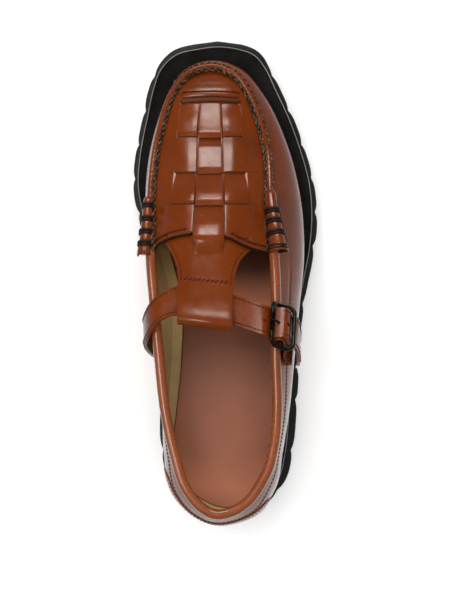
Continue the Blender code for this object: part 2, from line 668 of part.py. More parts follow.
def make_tab(leather, home):
    """Leather tab folded round the middle bar and sewn down on the lateral quarter."""
    front, rear = TAB_PLACES[0], TAB_PLACES[-1]
    rows = [[on_buckle(across, along, out) for along in TAB_PLACES] for across, out in TAB_FOLD]
    for row in TAB_DOWN:
        first, last = Vector(row[1:4]), Vector(row[4:7])
        rows.append([first.lerp(last, (along - front) / (rear - front)) for along in TAB_PLACES])
    slot = (TAB_SLOT[0] * STRAP_STEPS, TAB_SLOT[1] * STRAP_STEPS, len(TAB_PLACES) // 2 - 1)
    sheet("buckle_tab", smooth_rows(rows, STRAP_STEPS), TAB_THICK, leather, home, slot)


def make_buckle(metal, home, tools):
    """Frame with its middle bar, and the prong."""
    outline = []
    for sign_across, sign_along, turn in ((1, 1, 0), (-1, 1, 1), (-1, -1, 2), (1, -1, 3)):
        for k in range(CORNER_STEPS + 1):
            angle = math.pi / 2 * (turn + k / CORNER_STEPS)
            across = sign_across * (BUCKLE_HALF_WIDTH - BUCKLE_CORNER) + BUCKLE_CORNER * math.cos(angle)
            along = sign_along * (BUCKLE_HALF_LENGTH - BUCKLE_CORNER) + BUCKLE_CORNER * math.sin(angle)
            outline.append(on_buckle(across, along, BUCKLE_LIFT * (across / BUCKLE_HALF_WIDTH) ** 2))
        if sign_across != sign_along:
            continue
        outline.append(on_buckle(0, sign_along * BUCKLE_HALF_LENGTH, 0))
    frame = solid_tube("buckle_frame", outline, BAR_RADIUS, metal, home, closed=True)
    reach = BUCKLE_HALF_LENGTH + BAR_OVERLAP
    ends = [on_buckle(0, -reach, 0), on_buckle(0, reach, 0)]
    bar = solid_tube("buckle_middle_bar", ends, MIDDLE_BAR_RADIUS, metal, tools)
    join(frame, bar)

    ring = MIDDLE_BAR_RADIUS + GAP + PRONG_RADIUS
    first, last, step = PRONG_CURL
    path = []
    for angle in range(first, last + 1, step):
        path.append(on_buckle(ring * math.cos(math.radians(angle)), 0, ring * math.sin(math.radians(angle))))
    tip = BUCKLE_LIFT + BAR_RADIUS + GAP + PRONG_RADIUS
    path.append(on_buckle(-BUCKLE_HALF_WIDTH / 2, 0, (ring + tip) / 2 + PRONG_ARCH))
    path.append(on_buckle(-BUCKLE_HALF_WIDTH, 0, tip))
    path.append(on_buckle(-BUCKLE_HALF_WIDTH - PRONG_REACH, 0, tip - PRONG_DROP))
    tube("buckle_prong", path, PRONG_RADIUS, metal, home)


def join(made, other):
    """Adds the other object's shape to an object."""
    other.hide_render = True
    other.display_type = "WIRE"
    boolean = made.modifiers.new(other.name, "BOOLEAN")
    boolean.operation = "UNION"
    boolean.solver = "EXACT"
    boolean.object = other


def main():
    for old in list(bpy.data.objects):
        bpy.data.objects.remove(old, do_unlink=True)
    home = bpy.data.collections.new("loafer")
    tools = bpy.data.collections.new("cutters")
    for group in (home, tools):
        bpy.context.scene.collection.children.link(group)
    tools.hide_render = True

    rubber = skin("sole_rubber", (0.013, 0.014, 0.013), 0.55)
    leather = skin("upper_leather", (0.17, 0.038, 0.009), 0.3)
    sock = skin("insole_leather", (0.30, 0.12, 0.07), 0.45)
    metal = skin("buckle_metal", (0.05, 0.055, 0.055), 0.3, 0.9)

    make_sole(rubber, home, tools)
    make_insole(sock, home)
    make_upper(leather, home)
    make_rolls(leather, home)
    make_t_bar(leather, home)
    make_strap(leather, home, tools)
    make_tab(leather, home)
    make_buckle(metal, home, tools)
    for made in list(home.objects) + list(tools.objects):
        made.location -= mm(*MIDDLE, 0)


main()
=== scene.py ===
import math

import bmesh
import bpy
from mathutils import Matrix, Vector
from mathutils.bvhtree import BVHTree


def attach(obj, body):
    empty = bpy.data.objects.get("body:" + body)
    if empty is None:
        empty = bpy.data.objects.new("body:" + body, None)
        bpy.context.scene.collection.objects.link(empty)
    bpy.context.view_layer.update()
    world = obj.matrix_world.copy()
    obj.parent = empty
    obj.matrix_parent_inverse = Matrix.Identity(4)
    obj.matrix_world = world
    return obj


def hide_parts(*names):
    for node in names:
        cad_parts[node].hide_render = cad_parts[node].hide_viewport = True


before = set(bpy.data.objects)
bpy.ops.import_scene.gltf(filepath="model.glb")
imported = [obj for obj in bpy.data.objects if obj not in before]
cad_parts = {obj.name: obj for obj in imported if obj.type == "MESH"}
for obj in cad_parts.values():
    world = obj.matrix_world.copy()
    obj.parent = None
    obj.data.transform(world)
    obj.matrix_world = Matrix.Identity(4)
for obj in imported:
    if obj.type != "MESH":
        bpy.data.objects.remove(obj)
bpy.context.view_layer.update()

# Driving sizes, as in the frame
MIDDLE = (-0.13, -1.16)
GAP = 0.3                   # room between neighbouring parts
WALL = 2.2
STRAP_THICK = 1.8
ROLL_RADIUS = 2.8
SEAM_RADIUS = 1.5
MIDSOLE_THICK = 8.0
SHELF = 1.6
LUG_FLATNESS = 4
HEEL_FLARE = 1.4
INSOLE_THICK = 4.0
GROOVE_WIDTH = 3.0
GROOVE_DEPTH = 4.0
BREAST_Y = -51.5
SOLE_TOP = [(-136, 41.5), (-100, 39), (-60, 36.5), (-20, 31), (15, 26.5), (45, 24), (75, 24.8), (105, 28.5),
            (132, 34)]
OUTSOLE_BOTTOM = [(-60, 21), (-50, 20.5), (-40, 17.5), (-30, 9), (-20, 2), (-12, 0), (78, 0), (95, 0.9),
                  (115, 4.2), (134, 9)]
HEEL_BOTTOM = [(-136, 1.6), (-126, 0.5), (-118, 0), (-50, 0)]
TOE_TIP = (-4.5, 129.3)
HEEL_TIP = (-1, -132)
# The midsole's edge: y, medial x, lateral x
WELT = [(128, -15.5, 7), (124.5, -28.5, 16.5), (117, -36.5, 22.8), (106, -40.8, 28.2), (90, -44.4, 35.8),
        (72, -48.1, 42.5), (52, -49.7, 47.8), (34, -46.5, 49.1), (16, -40.5, 47.6), (-5, -34.5, 43.6),
        (-28, -31.5, 40), (-52, -32.8, 37.3), (-78, -35.4, 35.6), (-98, -34.6, 33.6), (-112, -31, 30.2),
        (-124, -22, 21.5), (-130.5, -11, 9)]
SOLE_NOTCHES = [152, 113, 94, 75, 56, 37, 18, -15, -33, -52]
HEEL_NOTCHES = [-52, -69, -97, -118, -150]
LUG_BULGE = [(-136, 1.3), (-10, 1.3), (25, 1.6), (60, 1.2), (110, 1.3), (130, 2.3)]
LATERAL_THROAT, TOE, MEDIAL_THROAT = 8, 13, 19
# Foot x y, top x y z, bow of the lower and the upper half
UPPER = [
    (-1.5, -130, -3.5, -128.2, 90.5, 10, 7), (7, -129.3, 5.3, -125.9, 90.4, 10, 7),
    (15, -125.6, 13.1, -120.4, 90, 11, 8), (23.5, -117, 21.3, -108.4, 88.5, 8, 6),
    (29.2, -97, 26.5, -93, 86, 5, 4), (32.3, -70, 28.7, -70, 82, 7, 5.5),
    (34.2, -45, 28.1, -45, 79, 8.5, 7.5), (36.8, -15, 28.3, -15, 77, 10, 9.5),
    (39.3, 13, 27.2, 12, 74, 11, 12), (38.3, 40, 23.9, 39, 66.5, 11, 13.5),
    (30.2, 73, 21.7, 71.5, 53.5, 10, 10.5), (18.8, 100, 12.8, 99.8, 48.5, 7, 7),
    (7.8, 113.2, 4.8, 111, 47.3, 6, 6), (-6, 118, -6.5, 115.6, 47, 5, 5.5),
    (-20, 114.5, -18.8, 113, 47, 4.5, 5), (-30, 101, -28.6, 101.8, 47.8, 3.5, 4),
    (-38, 79, -36.2, 78, 52, 4, 4.5), (-42, 52, -39.8, 52, 61, 4, 5),
    (-40.5, 32, -40.6, 31, 68.5, 5, 5), (-33.5, 10, -41.4, 11, 75, 6.5, 4.5),
    (-27.6, -15, -39.4, -15, 78, 6.5, 3.5), (-28.2, -45, -36.6, -45, 80.5, 5, 3),
    (-31, -75, -32.9, -75, 83.5, 4, 3), (-31.2, -97, -27.8, -97, 86.5, 6, 4.5),
    (-24.5, -115.5, -22, -114, 88.7, 10, 8), (-13.2, -125.8, -13, -124.6, 90, 10, 8),
]
# Start and end along the upper's rows, radius at each, outward lean, places of the thread wraps
BEEFROLLS = [
    ("beefroll_lateral", LATERAL_THROAT + 0.08, LATERAL_THROAT + 1.22, 4.9, 2.9, 0.25,
     (0.03, 0.275, 0.485, 0.67)),
    ("beefroll_medial", MEDIAL_THROAT - 0.08, MEDIAL_THROAT - 1.57, 3.6, 2.5, 0.6, (0.17, 0.385, 0.61, 0.85)),
]
CROWN = [(0, 0), (0.1, 1.8), (0.3, 6), (0.6, 11.5), (1, 16)]
THROAT = [(0, 0), (0.08, 6.5), (0.2, 10), (0.35, 11.5), (0.6, 9.5), (0.8, 3.5), (1, 0)]
STEM_RISE = [(-8, -4.2), (0, 0), (10, 4.4), (20, 8.2), (30, 11.6), (52, 18)]
STEM_DROP = 4.2
LOOP_ROOM = 7.0
# Left x y, right x y, part of the loop's room that the section lies below the stem
T_BAR = [
    (-28.5, 26, 8.5, 20.5, 0.18), (-32.6, 20, 13.2, 14.6, 0.2), (-31, 15.5, 10.6, 11.3, 0.08),
    (-28.4, 11, 7.6, 7.6, 0), (-25.7, 4, 5.2, 1.8, 0), (-25.2, -2, 4.2, -4.8, 0),
    (-25.4, -8, 3.8, -11, 0), (-25.5, -16, 3.6, -19.5, 0), (-25.5, -22.8, 3.4, -26.4, 0.03),
    (-25.4, -25.2, 3.3, -28.9, 0.5), (-25.3, -22.8, 3.4, -26.4, 0.97), (-25.2, -14, 3.6, -17.5, 1),
    (-25, -2.5, 3.9, -6, 0.9),
]
# Front edge x y z, rear edge x y z
STRAP_MEDIAL = [
    (-32.3, -31.5, 41, -32.4, -47, 43), (-36.9, -29.5, 52, -36.7, -45.8, 54),
    (-41.6, -26.8, 63, -40.9, -42.5, 65), (-43.7, -23.2, 74, -43.3, -38, 76),
    (-42.2, -18.6, 83.5, -41.6, -33.2, 86), (-38.6, -13.2, 88.5, -38.2, -27.6, 92),
    (-32.8, -8.6, 90, -33.2, -23.2, 94),
]
STRAP_IN_LOOP = [(-25.4, -5.6, -21.2), (-11, -7.6, -23.6), (3.4, -10, -26.2)]
STRAP_TAIL = [
    (38.4, -23, 81.5, 37.2, -39, 85.5), (39.8, -27.7, 74, 39.1, -43.5, 77.5),
    (39.9, -33, 65.5, 39.6, -47.5, 68.5), (40, -38.5, 58.5, 39.8, -49, 60.5),
    (40.2, -42.5, 55.5, 40.1, -47.5, 56.5),
]
BUCKLE_MIDDLE = (29.5, -27.2, 91.5)
BUCKLE_ACROSS = (0.84, -0.28, -0.46)
BUCKLE_ALONG = (0.06, -0.93, 0.37)
BUCKLE_HALF_WIDTH = 6.9
BUCKLE_HALF_LENGTH = 12.2
BUCKLE_CORNER = 3.6
BUCKLE_LIFT = 2.2
BAR_RADIUS = 1.2
MIDDLE_BAR_RADIUS = 1.1
PRONG_RADIUS = 0.7
STRAP_ON_BUCKLE = (-9, 8.2)
PRONG_HOLE = 1.6
PUNCHED_HOLE = -10.8
HOLE_RADIUS = 1.15
TAB_THICK = 1.4
TAB_PLACES = (-8, -4.6, -1.3, 1.3, 5.2, 9)
TAB_FOLD = [(4.4, -4.8), (0, -4.2), (-3.2, -4.6), (-5, -3.4), (-3.8, -1.5), (-1.6, 1.4), (0, 2.1),
            (1.6, 1.4), (4.2, -1.9), (6.2, -3.4)]
TAB_SLOT = (4, 8)
TAB_DOWN = [
    (33.4, -23.5, 82, 31.8, -41, 86.2), (33.8, -26.5, 77, 31.7, -43.5, 80),
    (34.6, -29.5, 71, 32.7, -46.5, 73), (36.8, -31.5, 65, 35.4, -48.5, 66),
]

# The woven apron: where the rows end, from the toe backwards, and the columns' edges at each of those ends
WEAVE_ROWS = [97, 76, 56.4, 38.2, 20.0]
LEFT_EDGE = [(97, -24.3), (76, -26.4), (56.4, -27.9), (38.2, -29.4), (20, -30.5)]
LEFT_MIDDLE = [(97, -14.2), (76, -15.2), (56.4, -15.6), (38.2, -16.6), (20, -18)]
RIGHT_MIDDLE = [(97, -2.6), (76, -2), (56.4, -1.5), (38.2, -0.9), (20, -0.3)]
RIGHT_EDGE = [(97, 7.6), (76, 9.8), (56.4, 11.4), (38.2, 12.4), (20, 13.5)]
SLIT = 0.28                 # half the room between two columns
# Centre strips: the part of a strip at which it is at its full height, and how evenly it rises to it
CENTRE_RISE = [(0.9, 1), (0.34, 0), (0.72, 0)]

SEAM_V = 0.77               # height on the wall of the stitched seam that runs parallel to the collar
COUNTER = (len(UPPER) - 2.75, len(UPPER) + 2.9)   # the heel counter's ends along the upper's rows
COUNTER_PROUD = 0.6         # how far the heel counter's overlay stands off the wall
COUNTER_HIGH = 0.62         # its height on the wall, and how sharply it falls off to its ends
COUNTER_FALL = 26
COUNTER_END_HIGH = 0.04
RIDGE_LEAN = 0.5            # how far the ridge leans outwards, and its room over the wall
RIDGE_GAP = 0.35
RUN_OUT = 7.0               # how far the apron's bands run into the plain leather beside the weave
STEM_RAISED = 2.4           # how far the stem's front end is lifted, which takes its shine away
STRIP_END = 20.1            # y at which the last centre strip turns down into the stem
STRIP_RUN_ON = 11           # and how far it runs on over the stem
UP = Vector((0, 0, 1))


# ---- curves and surfaces, in millimetres

def at(point):
    """A point of the tables, in the model's frame and in metres."""
    return Vector((point[0] - MIDDLE[0], point[1] - MIDDLE[1], point[2])) * 0.001


def hermite(a, b, slope_a, slope_b, span, t):
    """Value at t, from 0 to 1, on the cubic from a to b with these slopes over this span."""
    return (a * (1 + 2 * t) * (1 - t) ** 2 + b * t * t * (3 - 2 * t)
            + span * (slope_a * t * (1 - t) ** 2 - slope_b * t * t * (1 - t)))


def profile(rows, x):
    """Height of the smooth curve through (x, y) rows, in either order of x."""
    if rows[0][0] > rows[-1][0]:
        rows = rows[::-1]
    x = min(max(x, rows[0][0]), rows[-1][0])
    steps = [(b[1] - a[1]) / (b[0] - a[0]) for a, b in zip(rows, rows[1:])]
    inner = [0 if p * q <= 0 else 2 * p * q / (p + q) for p, q in zip(steps, steps[1:])]
    slopes = [steps[0]] + inner + [steps[-1]]
    i = max(k for k, row in enumerate(rows[:-1]) if row[0] <= x)
    (x0, y0), (x1, y1) = rows[i:i + 2]
    return hermite(y0, y1, slopes[i], slopes[i + 1], x1 - x0, (x - x0) / (x1 - x0))


def smooth_step(a, b, x):
    t = min(max((x - a) / (b - a), 0.0), 1.0)
    return t * t * (3 - 2 * t)


def closed_curve(rows):
    """Smooth closed curve through rows of numbers whose first two are x and y; t counts rows."""
    count, columns = len(rows), range(len(rows[0]))
    span = [math.dist(rows[i][:2], rows[(i + 1) % count][:2]) for i in range(count)]

    def slope(i, k):
        before = (rows[i][k] - rows[i - 1][k]) / span[i - 1]
        after = (rows[(i + 1) % count][k] - rows[i][k]) / span[i]
        return (before * span[i] + after * span[i - 1]) / (span[i] + span[i - 1])

    slopes = [[slope(i, k) for k in columns] for i in range(count)]

    def point(t):
        i = int(math.floor(t)) % count
        j = (i + 1) % count
        return tuple(hermite(rows[i][k], rows[j][k], slopes[i][k], slopes[j][k], span[i], t - math.floor(t))
                     for k in columns)
    return point


def stretch(curve, start, end, count):
    """count + 1 values of t from start to end that lie evenly along the curve."""
    fine = [start + (end - start) * k / 400 for k in range(401)]
    along = [0.0]
    for a, b in zip(fine, fine[1:]):
        along.append(along[-1] + math.dist(curve(a)[:2], curve(b)[:2]))
    picked = []
    k = 0
    for step in range(count + 1):
        goal = along[-1] * step / count
        while k < 399 and along[k + 1] < goal:
            k += 1
        part = (goal - along[k]) / (along[k + 1] - along[k])
        picked.append(fine[k] + (fine[k + 1] - fine[k]) * part)
    return picked


def outward(curve, t):
    """Unit vector, level, out of a closed curve at t, whichever way round the curve runs."""
    x0, y0 = curve(t - 0.02)[:2]
    x1, y1 = curve(t + 0.02)[:2]
    out = Vector((y1 - y0, x0 - x1, 0)).normalized()
    x, y = curve(t)[:2]
    return out if out.dot(Vector((x, y * 0.3, 0))) > 0 else -out


LAST = closed_curve(UPPER)
COUNT = len(UPPER)


def wall_point(t, v, lift=0.0):
    """Point on the outer face of the wall: v is 0 at the foot and 1 at the top."""
    foot_x, foot_y, top_x, top_y, top_z, low_out, high_out = LAST(t)
    foot = Vector((foot_x, foot_y, profile(SOLE_TOP, foot_y) + GAP))
    top = Vector((top_x, top_y, top_z))
    out = outward(LAST, t)
    third = UP * (top.z - foot.z) / 3
    low = foot + out * low_out + third
    high = top + out * high_out - third
    w = 1 - v
    point = foot * w ** 3 + low * 3 * w * w * v + high * 3 * w * v * v + top * v ** 3
    return point + wall_normal(t, v) * lift if lift else point


def wall_normal(t, v):
    """Unit normal out of the wall."""
    v = min(max(v, 0.02), 0.98)
    along = wall_point(t + 0.02, v) - wall_point(t - 0.02, v)
    up = wall_point(t, v + 0.02) - wall_point(t, v - 0.02)
    normal = along.cross(up).normalized()
    return normal if normal.dot(outward(LAST, t)) > 0 else -normal


LATERAL_LINE = stretch(LAST, TOE, LATERAL_THROAT, 60)
MEDIAL_LINE = stretch(LAST, TOE, MEDIAL_THROAT, 60)


def line_at(line, part):
    place = min(max(part, 0.0), 1.0) * (len(line) - 1)
    i = min(int(place), len(line) - 2)
    return line[i] + (line[i + 1] - line[i]) * (place - i)


def apron_point(back, v):
    """Point on the plain apron: back is 0 at the toe and 1 at the throat, v 0 medial and 1 lateral."""
    lateral = wall_point(line_at(LATERAL_LINE, back), 1)
    point = wall_point(line_at(MEDIAL_LINE, back), 1).lerp(lateral, v)
    point.z += profile(CROWN, back) * 4 * v * (1 - v)
    point.y += profile(THROAT, v) * max(0.0, 2 * back - 1) ** 2
    return point


def stem_point(x, y, below=0.0):
    """Point on the middle surface of the T-bar, or that far below it."""
    medial, lateral = LAST(MEDIAL_THROAT)[2], LAST(LATERAL_THROAT)[2]
    edge = apron_point(1, (x - medial) / (lateral - medial))
    return Vector((x, y, edge.z + profile(STEM_RISE, edge.y - y) - STEM_DROP - below))


def smooth_rows(rows, steps):
    """Rows of points with steps - 1 rows put in between each two, on a smooth curve."""
    out = []
    for i in range(len(rows) - 1):
        before, after = rows[max(i - 1, 0)], rows[min(i + 2, len(rows) - 1)]
        for k in range(steps):
            out.append([hermite(p1, p2, (p2 - p0) / 2, (p3 - p1) / 2, 1, k / steps)
                        for p0, p1, p2, p3 in zip(before, rows[i], rows[i + 1], after)])
    return out + [rows[-1]]


def buckle_axes():
    across, along = Vector(BUCKLE_ACROSS).normalized(), Vector(BUCKLE_ALONG)
    along = (along - across * along.dot(across)).normalized()
    return across, along, along.cross(across)


AXES = buckle_axes()


def on_buckle(across, along, out):
    return Vector(BUCKLE_MIDDLE) + AXES[0] * across + AXES[1] * along + AXES[2] * out


class Ground:
    """A sheet that details are laid on: finds the point and the normal over any plan place."""

    def __init__(self, rows):
        wide = len(rows[0])
        corners = [i * wide + j for i in range(len(rows) - 1) for j in range(wide - 1)]
        self.tree = BVHTree.FromPolygons([point for row in rows for point in row],
                                         [(a, a + 1, a + wide + 1, a + wide) for a in corners])

    def over(self, x, y, lift=0.0):
        """Point that far above the sheet, along its normal, and the normal."""
        place, normal = self.tree.ray_cast(Vector((x, y, 200)), -UP)[:2]
        if place is None:
            place, normal = self.tree.find_nearest(Vector((x, y, 80)))[:2]
        if normal.z < 0:
            normal = -normal
        return place + normal * lift, normal


# ---- materials

def wire(tree, node, **sockets):
    """Sets a node's sockets, whose names have _ for a space, or links them to other nodes' outputs."""
    for name, value in sockets.items():
        socket = node.inputs[name.replace("_", " ")]
        if isinstance(value, bpy.types.NodeSocket):
            tree.links.new(value, socket)
        else:
            socket.default_value = value
    return node


def add_node(tree, kind, **sockets):
    return wire(tree, tree.nodes.new("ShaderNode" + kind), **sockets)


def own_place(tree):
    """The object's own coordinates."""
    return add_node(tree, "TexCoord").outputs["Object"]


def noise(tree, scale, detail=3.0, roughness=0.5):
    """Noise; scale counts features in a metre."""
    return add_node(tree, "TexNoise", Vector=own_place(tree), Scale=scale, Detail=detail,
                    Roughness=roughness).outputs["Fac"]


def pebbles(tree, scale):
    """Distance to the cell edges of a Voronoi pattern, for leather grain."""
    texture = add_node(tree, "TexVoronoi", Vector=own_place(tree), Scale=scale)
    texture.feature = "DISTANCE_TO_EDGE"
    return texture.outputs["Distance"]


def ramp(tree, value, *stops):
    """Colour ramp over the value; the stops are (place, colour) in rising order."""
    node = add_node(tree, "ValToRGB", Fac=value)
    elements = node.color_ramp.elements
    for number, (place, colour) in enumerate(stops):
        element = elements[number] if number < 2 else elements.new(place)
        element.position = place
        element.color = (*colour, 1)
    return node.outputs["Color"]


def spread(tree, value, low, high, start=0.3, end=0.7):
    """The value's range from start to end mapped to low to high."""
    return add_node(tree, "MapRange", Value=value, From_Min=start, From_Max=end, To_Min=low,
                    To_Max=high).outputs["Result"]


def bump(tree, shader, distance, *layers):
    """Adds bumps from (value, strength) pairs, one on the other."""
    below = {}
    for value, strength in layers:
        node = add_node(tree, "Bump", Strength=strength, Distance=distance, Height=value, **below)
        below = {"Normal": node.outputs["Normal"]}
    wire(tree, shader, **below)


def new_material(name, **sockets):
    """Principled material, its node tree and its shader."""
    material = bpy.data.materials.new(name)
    material.use_nodes = True
    tree = material.node_tree
    return material, tree, wire(tree, tree.nodes["Principled BSDF"], **sockets)


def paint_shade_and_light(tree, colour, levels):
    """Painted shade and light: the colour darkened along the shoe where the inside lies in shade, and
    brightened where light falls in; levels are (y, part of the colour) from back to front.
    """
    back, front = levels[0][0], levels[-1][0]
    y_place = add_node(tree, "SeparateXYZ", Vector=own_place(tree)).outputs["Y"]
    along = spread(tree, y_place, 0, 1, (back - MIDDLE[1]) * 0.001, (front - MIDDLE[1]) * 0.001)
    shade = ramp(tree, along, *[((y - back) / (front - back), (level,) * 3) for y, level in levels])
    mix = add_node(tree, "Mix")
    mix.data_type = "RGBA"
    mix.blend_type = "MULTIPLY"
    return wire(tree, mix, Factor=1, A=colour, B=shade).outputs["Result"]


def leather(name, dark, light, roughness, coat, grain=0.12, levels=None, polish=0.16):
    """Polished leather: patchy colour, fine pores, slow waves that break up its reflections; levels, where
    given, paint shade and light along the shoe.
    """
    material, tree, shader = new_material(name, Coat_Weight=coat, Coat_Roughness=polish)
    colour = ramp(tree, noise(tree, 38, 4), (0.32, dark), (0.66, light))
    if levels:
        colour = paint_shade_and_light(tree, colour, levels)
    wire(tree, shader, Base_Color=colour,
         Roughness=spread(tree, noise(tree, 160), roughness - 0.05, roughness + 0.09))
    bump(tree, shader, 0.00012, (pebbles(tree, 1500), grain), (noise(tree, 240, 2), 0.25),
         (noise(tree, 60, 2), 0.5))
    return material


def rubber(name, colour, roughness, bumps=0.3, specular=0.45):
    """Moulded rubber with a faint mottle and fine texture."""
    material, tree, shader = new_material(name, Specular_IOR_Level=specular)
    light = tuple(min(1.0, c * 1.7 + 0.004) for c in colour)
    wire(tree, shader, Base_Color=ramp(tree, noise(tree, 90, 5, 0.6), (0.3, colour), (0.7, light)),
         Roughness=spread(tree, noise(tree, 700), roughness - 0.06, roughness + 0.1))
    bump(tree, shader, 0.00008, (noise(tree, 2200, 2), bumps), (noise(tree, 120, 2), 0.3))
    return material


def thread(name, dark, light, flecks=1500):
    """Waxed twisted thread: dark, with lighter flecks where the ply catches the light."""
    material, tree, shader = new_material(name, Roughness=0.5, Specular_IOR_Level=0.4)
    wire(tree, shader, Base_Color=ramp(tree, noise(tree, flecks, 3, 0.6), (0.45, dark), (0.72, light)))
    bump(tree, shader, 0.0001, (noise(tree, 2600, 2), 0.6))
    return material


def metal(name, colour, roughness):
    """Dark plated metal with a little wear in its gloss."""
    material, tree, shader = new_material(name, Metallic=0.85)
    worn = tuple(c * 2.1 for c in colour)
    wire(tree, shader, Base_Color=ramp(tree, noise(tree, 420, 4), (0.42, colour), (0.75, worn)),
         Roughness=spread(tree, noise(tree, 900), roughness - 0.08, roughness + 0.14))
    bump(tree, shader, 0.00006, (noise(tree, 900, 2), 0.12))
    return material


BROWN = leather("saddle_leather", (0.115, 0.0195, 0.0014), (0.152, 0.028, 0.0026), 0.2, 0.2, 0.03)
# The collar leather's lighter colour is partly its own tone and partly painted sheen, standing in for the
# broad highlight along the roll.
ROLL_BROWN = leather("collar_leather", (0.185, 0.046, 0.014), (0.228, 0.06, 0.019), 0.24, 1.0, 0.05,
                     polish=0.2)
STRAP_BROWN = leather("strap_leather", (0.110, 0.019, 0.0016), (0.145, 0.027, 0.003), 0.25, 0.1, 0.06)
COUNTER_BROWN = leather("counter_leather", (0.132, 0.031, 0.008), (0.172, 0.042, 0.012), 0.24, 0.5, 0.02)
# Dark brown for the real cut edges, and for the dark bars that paint shade in slits, in the slot and under
# edges.
EDGE_AND_SHADE_BROWN = leather("leather_edge_and_shade", (0.030, 0.010, 0.004), (0.060, 0.020, 0.008), 0.5, 0.0)
# The levels of the lining and the sock are painted shade and light: darker along the middle and under the
# apron where the inside of the shoe lies in shade, lighter at the heel and by the strap where light falls in.
LINING = leather("lining_leather", (0.5, 0.36, 0.155), (0.62, 0.45, 0.21), 0.5, 0.0, 0.2,
                 [(-130, 0.95), (-112, 0.66), (-45, 0.64), (-15, 1.5), (14, 1.55), (26, 0.4)])
SOCK = leather("sock_leather", (0.46, 0.148, 0.074), (0.52, 0.176, 0.088), 0.36, 0.15, 0.15,
               [(-128, 0.72), (-116, 0.84), (-98, 0.6), (-72, 0.45), (-38, 0.27), (-24, 0.3), (-15, 1.4),
                (4, 0.25), (30, 0.06)])
SOLE_BLACK = rubber("sole_rubber_polished", (0.0032, 0.0032, 0.003), 0.38, 0.05, 0.1)
SOLE_GREY = rubber("sole_rubber_moulded", (0.0085, 0.0085, 0.008), 0.5)
# The sole's light grey edge line is a painted highlight: it stands for the rim's rounded edge catching the
# light.
EDGE_HIGHLIGHT_GREY = rubber("sole_edge_highlight", (0.16, 0.155, 0.15), 0.4)
THREAD_DARK = thread("thread_dark", (0.014, 0.007, 0.004), (0.17, 0.088, 0.052), 620)
# Black thread for stitches and wraps, also used for the bars that paint shade under the throat edges and
# beside the lateral roll.
THREAD_AND_SHADE_BLACK = thread("thread_and_shade_black", (0.006, 0.003, 0.002), (0.03, 0.014, 0.008))
THREAD_BROWN = thread("thread_brown", (0.032, 0.008, 0.003), (0.085, 0.022, 0.008))
GUNMETAL = metal("buckle_gunmetal", (0.020, 0.022, 0.021), 0.3)
STRAP_EDGE = leather("strap_edge", (0.075, 0.052, 0.026), (0.11, 0.078, 0.04), 0.55, 0.0, 0.2)
STRAP_BACK = leather("strap_back", (0.26, 0.20, 0.095), (0.34, 0.26, 0.13), 0.55, 0.0, 0.2)

# Thread, pitch, length and radius of each kind of stitch, and its slant where it has one
UPPER_STITCH = (THREAD_BROWN, 2.1, 1.5, 0.17)
APRON_STITCH = (THREAD_DARK, 3.7, 3.0, 0.6, 0.35)
BAND_STITCH = (THREAD_AND_SHADE_BLACK, 1.6, 1.15, 0.36)
THROAT_STITCH = (THREAD_AND_SHADE_BLACK, 2.1, 1.5, 0.38)
STEM_STITCH = (THREAD_BROWN, 1.9, 1.3, 0.27)
CROSS_STITCH = (THREAD_BROWN, 2.4, 2.0, 0.42, 0.7)
STRAP_STITCH = (THREAD_BROWN, 1.9, 1.4, 0.33)
END_STITCH = (THREAD_BROWN, 2.1, 1.5, 0.2)
SOCK_STITCH = (THREAD_BROWN, 1.7, 1.1, 0.2)


# ---- mesh making

def add_object(name, work, materials=()):
    """A bmesh becomes an object in the scene."""
    data = bpy.data.meshes.new(name)
    work.to_mesh(data)
    work.free()
    for material in materials:
        data.materials.append(material)
    made = bpy.data.objects.new(name, data)
    bpy.context.scene.collection.objects.link(made)
    return made


def finish_piece(name, work, materials, replaces=()):
    """A bmesh becomes a smooth piece that rides on the shoe."""
    made = add_object(name, work, materials)
    made.data.shade_smooth()
    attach(made, "root")
    if replaces:
        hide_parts(*replaces)
    return made


def closed_piece(name, work, material, replaces=()):
    """A bmesh of closed shapes becomes a piece, its faces turned outwards."""
    bmesh.ops.recalc_face_normals(work, faces=work.faces)
    return finish_piece(name, work, [material], replaces)


def face_out(work, facing):
    """Turns an open sheet over if it doesn't face the way asked: up, or away from the shoe's middle."""
    score = 0.0
    for face in work.faces:
        normal, centre = face.normal, face.calc_center_median()
        if facing == "up":
            score += normal.z * face.calc_area()
        else:
            score += (normal.x * centre.x * 3 + normal.y * centre.y) * face.calc_area()
    if score < 0:
        bmesh.ops.reverse_faces(work, faces=work.faces)


def grid(name, rows, materials, thickness, bevel=0.0, facing="up", ring=False, offset=-1.0, edge=1,
         replaces=(), skip=None):
    """Leather over rows of points in millimetres: ring joins each row's ends, edge is the rim's material."""
    work = bmesh.new()
    lines = [[work.verts.new(at(point)) for point in row] for row in rows]
    for i, (low, high) in enumerate(zip(lines, lines[1:])):
        if ring:
            low, high = low + low[:1], high + high[:1]
        for j, corners in enumerate(zip(low, low[1:], high[1:], high)):
            if not (skip and skip(i, j)):
                work.faces.new(corners)
    bmesh.ops.delete(work, geom=[v for v in work.verts if not v.link_faces], context="VERTS")
    work.normal_update()
    face_out(work, facing)
    made = finish_piece(name, work, materials, replaces=replaces)
    solid = made.modifiers.new("Leather", "SOLIDIFY")
    solid.thickness = thickness * 0.001
    solid.offset = offset
    if len(materials) > 1:
        solid.material_offset = 1
        solid.material_offset_rim = edge
    if bevel:
        rounding = made.modifiers.new("Edge", "BEVEL")
        rounding.width = bevel * 0.001
        rounding.segments = 2
        rounding.limit_method = "ANGLE"
        rounding.angle_limit = math.radians(50)
        made.modifiers.new("Normals", "WEIGHTED_NORMAL").keep_sharp = False
    return made


